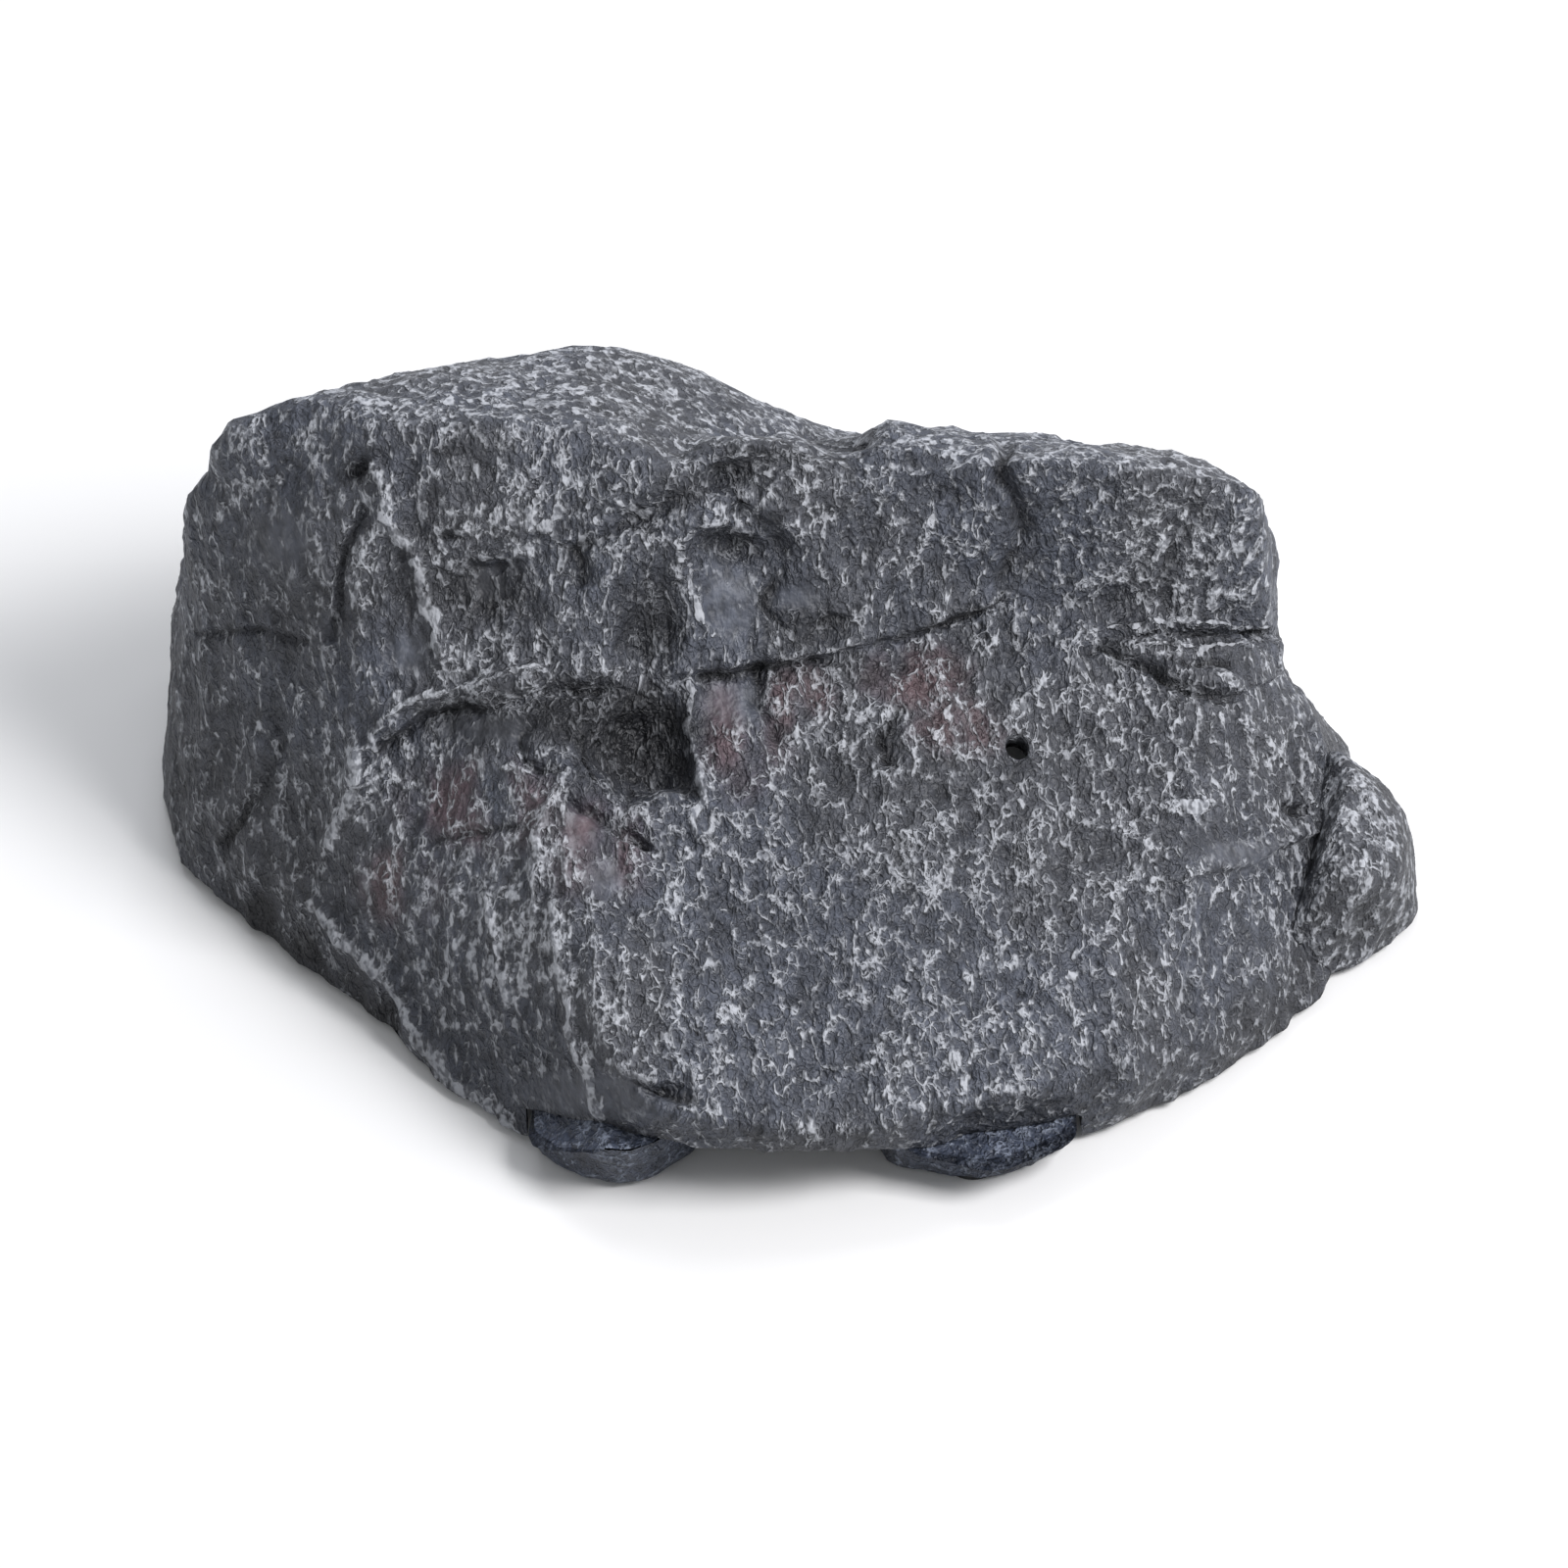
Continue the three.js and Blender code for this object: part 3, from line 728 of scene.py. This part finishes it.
def ring_around(outline, count):
    """Points at even steps round a closed outline."""
    corners = np.array(outline + outline[:1])
    walked = np.concatenate([[0], np.cumsum(np.linalg.norm(np.diff(corners, axis=0), axis=1))])
    steps = np.arange(count) / count * walked[-1]
    return np.stack([np.interp(steps, walked, corners[:, k]) for k in (0, 1)], -1)


def bar_faces(rows, count):
    """Triangles of a bar of `rows` rings, with a fan to a middle point at each end."""
    a = np.arange(count)
    b = (a + 1) % count
    faces = []
    for row in range(rows - 1):
        near, far = row * count, (row + 1) * count
        faces += [np.stack([near + a, near + b, far + b], -1), np.stack([near + a, far + b, far + a], -1)]
    first, last = rows * count, rows * count + 1
    faces += [np.stack([b, a, 0 * a + first], -1)]
    faces += [np.stack([(rows - 1) * count + a, (rows - 1) * count + b, 0 * a + last], -1)]
    return np.concatenate(faces)


def mouth_bar(outline, x, start, end, jag):
    """The outline pushed along y, its sides roughened by noise."""
    ring = ring_around(outline, 150)
    ys = np.linspace(start, end, 24)
    points = np.zeros((len(ys), len(ring), 3))
    points[..., 0] = x + ring[:, 0]
    points[..., 1] = ys[:, None]
    points[..., 2] = ring[:, 1]
    middle = np.array([x, 0, 4.0])
    outward = (points - middle) * [1, 0, 1]
    outward /= np.linalg.norm(outward, axis=2)[..., None]
    points += outward * (jag * rough(points, 9, 2, 60))[..., None]
    ends = [[x, start, 4.0], [x, end, 4.0]]
    return np.concatenate([points.reshape(-1, 3), ends]), bar_faces(len(ys), len(ring))


def drill(entry, normal, radius, length):
    """A round bar square to the slope: a circle of 48 points carried along the normal."""
    turn = np.linspace(0, 2 * math.pi, 48, endpoint=False)
    side = np.cross(normal, [1.0, 0, 0])
    side /= np.linalg.norm(side)
    other = np.cross(normal, side)
    circle = radius * (np.cos(turn)[:, None] * side + np.sin(turn)[:, None] * other)
    ends = [entry - normal * length / 2, entry + normal * length / 2]
    return np.concatenate([ends[0] + circle, ends[1] + circle, ends]), bar_faces(2, len(turn))


def cut(piece, points, faces, guides):
    """Take a closed bar away from a piece with a Boolean, and keep the result as the piece's mesh."""
    bar = make_piece("bar", points, faces, guides)
    if volume(bar) < 0:
        bar.data.flip_normals()
    boolean = piece.modifiers.new("cut", "BOOLEAN")
    boolean.operation, boolean.solver, boolean.object = "DIFFERENCE", "MANIFOLD", bar
    shaped = piece.evaluated_get(bpy.context.evaluated_depsgraph_get())
    piece.data = bpy.data.meshes.new_from_object(shaped)
    piece.modifiers.clear()
    bpy.data.objects.remove(bar)
    return piece


VENT_RADIUS = 2.5
slope_normal = direction(20, 66)
vent_entry = np.array([45.0, -13.0, 0.0])
vent_entry[2] = (55 - vent_entry[:2] @ slope_normal[:2]) / slope_normal[2]
before = volume(rock)
inside_paint = {"inside": 1.0}
cut(rock, *mouth_bar(front_outline, FRONT_MOUTH_X, -120, -62, 0.5), inside_paint)
cut(rock, *mouth_bar(rear_outline, REAR_MOUTH_X, 45, 120, 0.8), inside_paint)
cut(rock, *drill(vent_entry, slope_normal, VENT_RADIUS, 40), inside_paint)
print("rock taken out, cc:", (before - volume(rock)).round(1), "triangles:", len(rock.data.polygons))

# %% [markdown]
# ## Foot stones and the end stone
# Three small stones are cast apart and bonded on. Each is one block of facets round its own heart, with
# the same relief at a smaller height. The foot stones are trimmed flat under the brow. The end stone is
# cut to the boulder's own face, so the joint reads as a thin dark crease.

# %% Small stones
STONE_SPACING = 0.5     # closest points of a stone's net, before every second one is dropped


def small_stone(block, heart, origin, lift, seed, columns, rings):
    """A stone on a flat base: facets seen from the heart, relief along the normals, and a base fan."""
    net = ring_net(heart, lambda rays: block_reach(block, rays, origin), direction(0, 80), rings, columns)
    normals = net_normals(net)
    height, paint = relief(net, normals, seed, marked=False)
    net = net + normals * (lift * height)[..., None]
    net[0] = net[0].mean(0)
    net = level_rim(net)
    strides = net_strides(net, STONE_SPACING)
    rim = (rings - 1) * columns + np.arange(0, columns, strides[-1])
    base = np.append(net[-1].mean(0)[:2], FLOOR_RIM)
    points = np.concatenate([net.reshape(-1, 3), [base]])
    fan = np.stack([rim, 0 * rim + len(points) - 1, np.roll(rim, -1)], -1)
    faces = np.concatenate([net_triangles(strides, columns), fan])
    paint = {k: np.append(v.ravel(), 0.0) for k, v in paint.items()}
    return points, faces, paint


def brow_ceiling(x):
    """Height of the front mouth's ceiling across its width."""
    top = front_outline[2:]
    return np.interp(x - FRONT_MOUTH_X, [p[0] for p in top[::-1]], [p[1] for p in top[::-1]])


def foot_stone(name, side, width, toes, seed):
    """A stone at one side of the front mouth, its top trimmed to the ceiling less the bond."""
    heart = np.array([FRONT_MOUTH_X + side * (FRONT_HALF - 1 - width / 2), -79.0, FLOOR_RIM + 7])
    block = toes + [(90, -2, width / 2), (-90, -2, width / 2), (180, 0, 9), (0, 88, 12)]
    points, faces, paint = small_stone(block, heart, np.zeros(3), 0.55, seed, 192, 56)
    points[:, 2] = np.minimum(points[:, 2], brow_ceiling(points[:, 0]) - GAP)
    return make_piece(name, points, faces, paint)


left_toes = [(0, -14, 9.5), (-35, -12, 10.5), (40, -12, 10)]
right_toes = [(-12, -14, 8.5), (33, -12, 10.5), (-60, -8, 17)]
left_foot = foot_stone("left_foot_stone", -1, 34.0, left_toes, 70)
right_foot = foot_stone("right_foot_stone", 1, 40.0, right_toes, 80)

end_block = [
    (88, 8, 125), (98, 8, 123), (52, 4, 107.5), (20, 10, 64), (60, 62, 71), (124, 30, 97.7),
    (138, 37, 79.4), (180, 5, 14), (-90, 34, -75.4),
]
END_HEART = np.array([106.0, -4.0, 10.0])
end_points, end_faces, end_paint = small_stone(end_block, END_HEART, END_HEART, 0.8, 90, 256, 72)
end_paint["brushed_and_painted_light"] = np.maximum(end_paint["brushed_and_painted_light"], 0.5)      # painted light and dust, as on the rock beside it
end_stone = make_piece("end_stone_cast", end_points, end_faces, end_paint)
solid_outer = np.concatenate([outer_net.reshape(-1, 3), [[0, 20, -8.0]]])
solid_outer[outer_rim, 2] = -8.0
base_fan = np.stack([outer_rim, 0 * outer_rim + len(solid_outer) - 1, np.roll(outer_rim, -1)], -1)
cut(end_stone, solid_outer, np.concatenate([outer_faces, base_fan]), {})
for stone in (left_foot, right_foot, end_stone):
    print(stone.name, "triangles:", len(stone.data.polygons), "volume, cc:", volume(stone).round(1))

# %% [markdown]
# ## Pads
# Soft rubber discs keep the ground rim off the glass. A disc is a profile turned about its axis: a flat
# foot, a rounded edge, a flat top.

# %% Turned pads
PAD_EDGE = 0.4      # radius of a pad's rounded edge


def turned_pad(name, low, high):
    """A disc turned about z: a profile of radius and height, 40 steps round, closed by fans."""
    radius, thick = (high[0] - low[0]) / 2, high[2] - low[2]
    arc = np.radians(np.linspace(0, 90, 5))
    across, up = PAD_EDGE * np.sin(arc), PAD_EDGE * np.cos(arc)
    under = [(radius - PAD_EDGE + a, PAD_EDGE - u) for a, u in zip(across, up)]
    over = [(radius - PAD_EDGE + u, thick - PAD_EDGE + a) for a, u in zip(across, up)]
    profile = [(0.55 * radius, 0.0)] + under + over + [(0.7 * radius, thick)]
    turn = np.linspace(0, 2 * math.pi, 40, endpoint=False)
    middle = (low + high) / 2
    points = np.array([[(middle[0] + r * np.cos(t), middle[1] + r * np.sin(t), low[2] + z) for t in turn]
                       for r, z in profile])
    ends = [[middle[0], middle[1], low[2]], [middle[0], middle[1], high[2]]]
    drawn = (np.concatenate([points.reshape(-1, 3), ends]) + MIDDLE) / stretch
    pad = make_piece(name, drawn, bar_faces(len(profile), len(turn)), {})
    if volume(pad) < 0:
        pad.data.flip_normals()
    pad.data.set_sharp_from_angle(angle=math.radians(50))
    return pad


pads = {name: turned_pad("rubber_" + name, *pad_boxes[name]) for name in pad_nodes}
print("pads:", len(pads), "of volume, cc:", volume(pads["rim_pad_left"]).round(2))

# %% [markdown]
# ## Paint
# The casting is charcoal resin. A dark wash is brushed on and wiped off, so it stays in the hollows.
# Thin glazes of blue grey, olive and rust follow. Last, a nearly dry brush of pale grey is dragged over
# the crests. We copy that order: base, glazes, wash, dry brush. The wash also carries painted shade, in
# pits, cracks, under ledges and on low walls, and the brush carries painted light on the top band and
# at some spots. The crests under the brush are finer than the mesh can hold, so one pattern gives both
# their height, as bump, and their paint.

# %% Nodes
MATH, RANGE, MIX = "ShaderNodeMath", "ShaderNodeMapRange", "ShaderNodeMix"
NOISE, MAPPING = "ShaderNodeTexNoise", "ShaderNodeMapping"
SHADER, OUTPUT = "ShaderNodeBsdfPrincipled", "ShaderNodeOutputMaterial"
TIMES, MOST, TIMES_PLUS = [{"operation": name} for name in ("MULTIPLY", "MAXIMUM", "MULTIPLY_ADD")]
SOFT = {"interpolation_type": "SMOOTHSTEP"}
OVER = {"data_type": "RGBA"}
TINT = {"data_type": "RGBA", "blend_type": "MULTIPLY"}
TEXTURE = {"vector_type": "TEXTURE"}
TILT = (math.radians(-45), 0, 0)      # turns a pattern's long axis to run down the front slope


def linear(code):
    """An sRGB hex colour as linear numbers: ((c + 0.055) / 1.055)^2.4, or c / 12.92 when dark."""
    parts = [int(code[k:k + 2], 16) / 255 for k in (1, 3, 5)]
    return [c / 12.92 if c <= 0.04045 else ((c + 0.055) / 1.055) ** 2.4 for c in parts] + [1.0]


def add(tree, kind, settings, *values, out=None, **named):
    """Add a node, set it up, fill its live inputs in order or by name, and give an output."""
    made = tree.nodes.new(kind)
    for key, value in settings.items():
        setattr(made, key, value)
    live = [socket for socket in made.inputs if socket.enabled]
    pairs = list(zip(live, values)) + [(made.inputs[k.replace("_", " ")], v) for k, v in named.items()]
    for socket, value in pairs:
        if isinstance(value, bpy.types.NodeSocket):
            tree.links.new(value, socket)
        else:
            socket.default_value = value
    return made.outputs[out] if out else next((socket for socket in made.outputs if socket.enabled), None)


def blank(name):
    """A material with an empty node tree, and its tree."""
    material = bpy.data.materials.new(name)
    material.use_nodes = True
    material.node_tree.nodes.clear()
    return material, material.node_tree


# Noise patterns: wavelength in mm, how many times longer downhill, and octaves of detail. Real grit is
# near 0.2 mm, too fine to see from here, so it is drawn at 1.3 mm.
PATTERNS = {"grit": (1.3, 1.2, 1.0), "grain": (2.2, 1.5, 2.5), "breaks": (3.0, 1.5, 2.0),
            "patches": (20.0, 1.5, 2.0), "mottle": (42.0, 1.2, 3.0), "rub": (2.0, 1.6, 2.0)}
# Ridges round little pits: size of a cell in mm, how many times longer downhill, half width in cells.
NETWORKS = {"large": (4.4, 1.6, 0.12), "small": (2.6, 1.3, 0.15), "runs": (8.0, 2.6, 0.07)}


def painted_resin(name, slate, olive, wash_and_painted_shade, brush_and_painted_light_colour, amount, gloss):
    """Stone-filled polyester resin, painted, with painted shade in the hollows and painted light on the top
    band. Chalky on the crests, a little waxy in the hollows.
    """
    material, tree = blank(name)
    guide = {g: add(tree, "ShaderNodeAttribute", {"attribute_name": g}, out="Fac") for g in GUIDES}
    spot_at = add(tree, "ShaderNodeTexCoord", {}, out="Object")
    pattern = {}
    for key, (wavelength, long, detail) in PATTERNS.items():
        w = wavelength * MM
        turned = add(tree, MAPPING, TEXTURE, spot_at, (0, 0, 0), TILT, (w, w, w * long))
        pattern[key] = add(tree, NOISE, {}, Vector=turned, Scale=1.0, Detail=detail)
    ridge, pit = {}, {}
    for key, (cell, long, half) in NETWORKS.items():
        w = cell * MM
        turned = add(tree, MAPPING, TEXTURE, spot_at, (0, 0, 0), TILT, (w, w, w * long))
        wobble = add(tree, NOISE, {}, Vector=turned, Scale=1.7, Detail=3.0, out="Color")
        bent = add(tree, "ShaderNodeVectorMath", TIMES_PLUS, wobble, (1.0,) * 3, turned)
        edge = add(tree, "ShaderNodeTexVoronoi", {"feature": "DISTANCE_TO_EDGE"}, Vector=bent, Scale=1.0)
        ridge[key] = add(tree, RANGE, SOFT, edge, half, 0.25 * half, 0.0, 1.0)
        pit[key] = add(tree, RANGE, SOFT, edge, half, 0.42, 0.0, 1.0)
    split = add(tree, RANGE, {}, guide["calm"], 0.0, 1.0, 1.0, 0.12)

    # Base and glazes.
    mottle = add(tree, RANGE, SOFT, pattern["mottle"], 0.42, 0.60, 0.0, 1.0)
    base = add(tree, MIX, OVER, mottle, linear(slate), linear(olive))
    rust = add(tree, MATH, TIMES, guide["rust"], 0.6)
    base = add(tree, MIX, OVER, rust, base, linear("#64484a"))
    grain = add(tree, RANGE, {}, pattern["grain"], 0.30, 0.70, 0.55, 1.35)
    base = add(tree, MIX, TINT, 1.0, base, grain)

    # The dark wash, with painted shade in the pits of the ridge network, in cracks and under the ledges.
    low = add(tree, MATH, TIMES, add(tree, MATH, TIMES, pit["large"], pit["small"]), split)
    wash_and_shade_amount = add(tree, MATH, MOST, guide["wash_and_painted_shade"], add(tree, MATH, TIMES, low, 0.85))
    base = add(tree, MIX, OVER, wash_and_shade_amount, base, linear(wash_and_painted_shade))

    # Dry brush, on ridges that stand high enough to meet it, and painted light where the brush guide asks for
    # it.
    meets = add(tree, MATH, TIMES_PLUS, pattern["patches"], 0.25, pattern["breaks"])
    meets = add(tree, MATH, TIMES_PLUS, guide["crest"], 0.15, meets)
    meets = add(tree, RANGE, SOFT, meets, 0.62, 0.76, 0.0, 1.0)
    fine = add(tree, MATH, TIMES, ridge["small"], 0.75)
    crest = add(tree, MATH, TIMES, add(tree, MATH, MOST, ridge["large"], fine), split)
    dry_brush_and_painted_light = add(tree, MATH, TIMES, crest, meets)
    ragged = add(tree, RANGE, SOFT, pattern["rub"], 0.45, 0.56, 0.0, 1.0)
    beads = add(tree, RANGE, SOFT, pattern["grit"], 0.36, 0.56, 0.25, 1.0)
    runs = add(tree, MATH, TIMES, add(tree, MATH, TIMES, ridge["runs"], split), ragged)
    # The brush guide brings painted light on the top band and at some spots into the brushed colour.
    worn_and_painted_light = add(tree, MATH, TIMES_PLUS, guide["brushed_and_painted_light"], 0.38, pattern["rub"])
    rub = add(tree, MATH, MOST, add(tree, RANGE, SOFT, worn_and_painted_light, 0.65, 0.78, 0.0, 1.0), runs)
    dry_brush_and_painted_light = add(tree, MATH, TIMES, add(tree, MATH, MOST, dry_brush_and_painted_light, rub), beads)
    dry_brush_and_painted_light = add(tree, MATH, TIMES, dry_brush_and_painted_light, amount)
    shelter = add(tree, RANGE, {}, guide["wash_and_painted_shade"], 0.0, 1.0, 1.0, 0.15)
    dry_brush_and_painted_light = add(tree, MATH, TIMES, dry_brush_and_painted_light, shelter)
    painted = add(tree, MIX, OVER, dry_brush_and_painted_light, base, linear(brush_and_painted_light_colour))
    bare = add(tree, MIX, OVER, mottle, linear("#4b4c50"), linear("#56575a"))
    colour = add(tree, MIX, OVER, guide["inside"], painted, bare)

    # Height of the fine relief in mm: ridges stand higher where the brush meets them.
    lift = add(tree, RANGE, {}, meets, 0.0, 1.0, 0.40, 0.90)
    height = add(tree, MATH, MOST, add(tree, MATH, TIMES, crest, lift), rub)
    height = add(tree, MATH, TIMES_PLUS, low, -0.45, height)
    height = add(tree, MATH, TIMES_PLUS, pattern["grain"], 1.3, height)
    height = add(tree, MATH, TIMES_PLUS, pattern["grit"], 0.60, height)
    sculpted = add(tree, RANGE, {}, guide["inside"], 0.0, 1.0, 1.0, 0.2)
    quiet = add(tree, RANGE, {}, guide["calm"], 0.0, 1.0, 1.0, 0.35)
    height = add(tree, MATH, TIMES, add(tree, MATH, TIMES, height, sculpted), quiet)
    bump = add(tree, "ShaderNodeBump", {}, Strength=1.0, Distance=1.35 * MM, Height=height)
    sheen = add(tree, RANGE, {}, dry_brush_and_painted_light, 0.0, 0.8, gloss, 0.85)
    shader = add(tree, SHADER, {}, Base_Color=colour, Roughness=sheen, IOR=1.5, Normal=bump)
    add(tree, OUTPUT, {}, shader)
    return material


def soft_rubber(name):
    """Moulded silicone rubber: near black, a faint bloom and a fine satin grain."""
    material, tree = blank(name)
    spot_at = add(tree, "ShaderNodeTexCoord", {}, out="Object")
    grain = add(tree, NOISE, {}, Vector=spot_at, Scale=1 / (0.6 * MM), Detail=2.0)
    bloom = add(tree, NOISE, {}, Vector=spot_at, Scale=1 / (4 * MM), Detail=3.0)
    veil = add(tree, RANGE, SOFT, bloom, 0.35, 0.70, 0.0, 1.0)
    colour = add(tree, MIX, OVER, veil, linear("#17181a"), linear("#2b2c2e"))
    bump = add(tree, "ShaderNodeBump", {}, Strength=0.6, Distance=0.08 * MM, Height=grain)
    shader = add(tree, SHADER, {}, Base_Color=colour, Roughness=0.6, IOR=1.43, Normal=bump)
    add(tree, OUTPUT, {}, shader)
    return material


# Stone-filled polyester has an IOR near 1.5. The paint leaves it matt, with a faint sheen in the hollows.
rock_paint = painted_resin("painted_stone_resin", "#4b4f59", "#4a4c52", "#1b1c20", "#c9ccd2", 0.70, 0.55)
# The foot stones are bluer, darker and less brushed: partly their own tone, partly painted shade under the
# brow.
foot_paint_with_shade = painted_resin("blue_grey_resin_with_painted_shade", "#434a5a", "#474b54", "#1c1e24", "#a4adbe", 0.5, 0.45)
# Silicone rubber, IOR 1.43: soft, dark and nearly even, so that the pads disappear under the rock.
rubber = soft_rubber("silicone_rubber")
print("materials:", [m.name for m in bpy.data.materials])

# %% Put the pieces on the frame
ROOT = "root"
replaced = {"rock_shell": rock, "foot_stone_left": left_foot, "foot_stone_right": right_foot,
            "end_stone": end_stone, **pads}
finishes = {"rock_resin": rock_paint, "foot_resin": foot_paint_with_shade, "pad_rubber": rubber}
slots = {part["node"]: part["material_slot"] for part in frame["record"]["subparts"]}
for node_name, piece in replaced.items():
    piece.data.materials.clear()
    piece.data.materials.append(finishes[slots[node_name]])
    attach(piece, ROOT)
    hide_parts(node_name)
print("pieces:", len(replaced))

# %% [markdown]
# ## Stage
# A pale floor, a soft key from the upper right, a weaker light behind, and an even sky. The camera looks
# down at 45 degrees from far away, so that near and far parts keep their proportions.

# %% Floor, lights, camera
floor_mesh = bpy.data.meshes.new("floor")
FLOOR = 3.0
floor_mesh.from_pydata([(-FLOOR, -FLOOR, 0), (FLOOR, -FLOOR, 0), (FLOOR, FLOOR, 0), (-FLOOR, FLOOR, 0)], [],
                       [(0, 1, 2, 3)])
floor = bpy.data.objects.new("floor", floor_mesh)
bpy.context.scene.collection.objects.link(floor)
floor_paint, floor_tree = blank("pale_paper")
paper = add(floor_tree, SHADER, {}, Base_Color=linear("#f2f2f1"), Roughness=0.9)
add(floor_tree, OUTPUT, {}, paper)
floor_mesh.materials.append(floor_paint)

world = bpy.data.worlds.new("sky")
world.use_nodes = True
world.node_tree.nodes["Background"].inputs[0].default_value = linear("#f4f6fa")
world.node_tree.nodes["Background"].inputs[1].default_value = 0.43
bpy.context.scene.world = world
bpy.context.scene.view_settings.view_transform = "Standard"
LAMP_AIM = 0.04     # height above the floor where the lamps point, in metres


def softbox(name, place, width, power, colour):
    """A square area light that faces the middle of the object."""
    lamp = bpy.data.lights.new(name, "AREA")
    lamp.size, lamp.energy, lamp.color = width, power, linear(colour)[:3]
    light = bpy.data.objects.new(name, lamp)
    light.location = place
    aim = -np.array(place) + [0, 0, LAMP_AIM]
    light.rotation_mode = "QUATERNION"
    light.rotation_quaternion = Vector(aim).to_track_quat("-Z", "Y")
    bpy.context.scene.collection.objects.link(light)
    return light


softbox("key", (0.85, -0.3, 1.05), 0.6, 19, "#fefdff")
softbox("back", (-0.2, 1.0, 1.2), 0.8, 8, "#f6f8ff")

ELEVATION = math.radians(45)
DISTANCE = 2.4
FIELD = 0.3136      # width of the view at the object, in metres
SENSOR = 36.0
aim_p, aim_q = -0.8, 24.8       # middle of the view on the plate
aim = to_frame([aim_p, aim_q / 2, aim_q / 2])
camera_data = bpy.data.cameras.new("camera")
camera_data.sensor_width = SENSOR
camera_data.lens = SENSOR * DISTANCE / FIELD
camera = bpy.data.objects.new("camera", camera_data)
camera.location = aim + DISTANCE * np.array([0, -math.cos(ELEVATION), math.sin(ELEVATION)])
camera.rotation_euler = (math.pi / 2 - ELEVATION, 0, 0)
camera_data.clip_start, camera_data.clip_end = 0.1, 20
bpy.context.scene.collection.objects.link(camera)
bpy.context.scene.camera = camera
print("lens, mm:", round(camera_data.lens, 1))
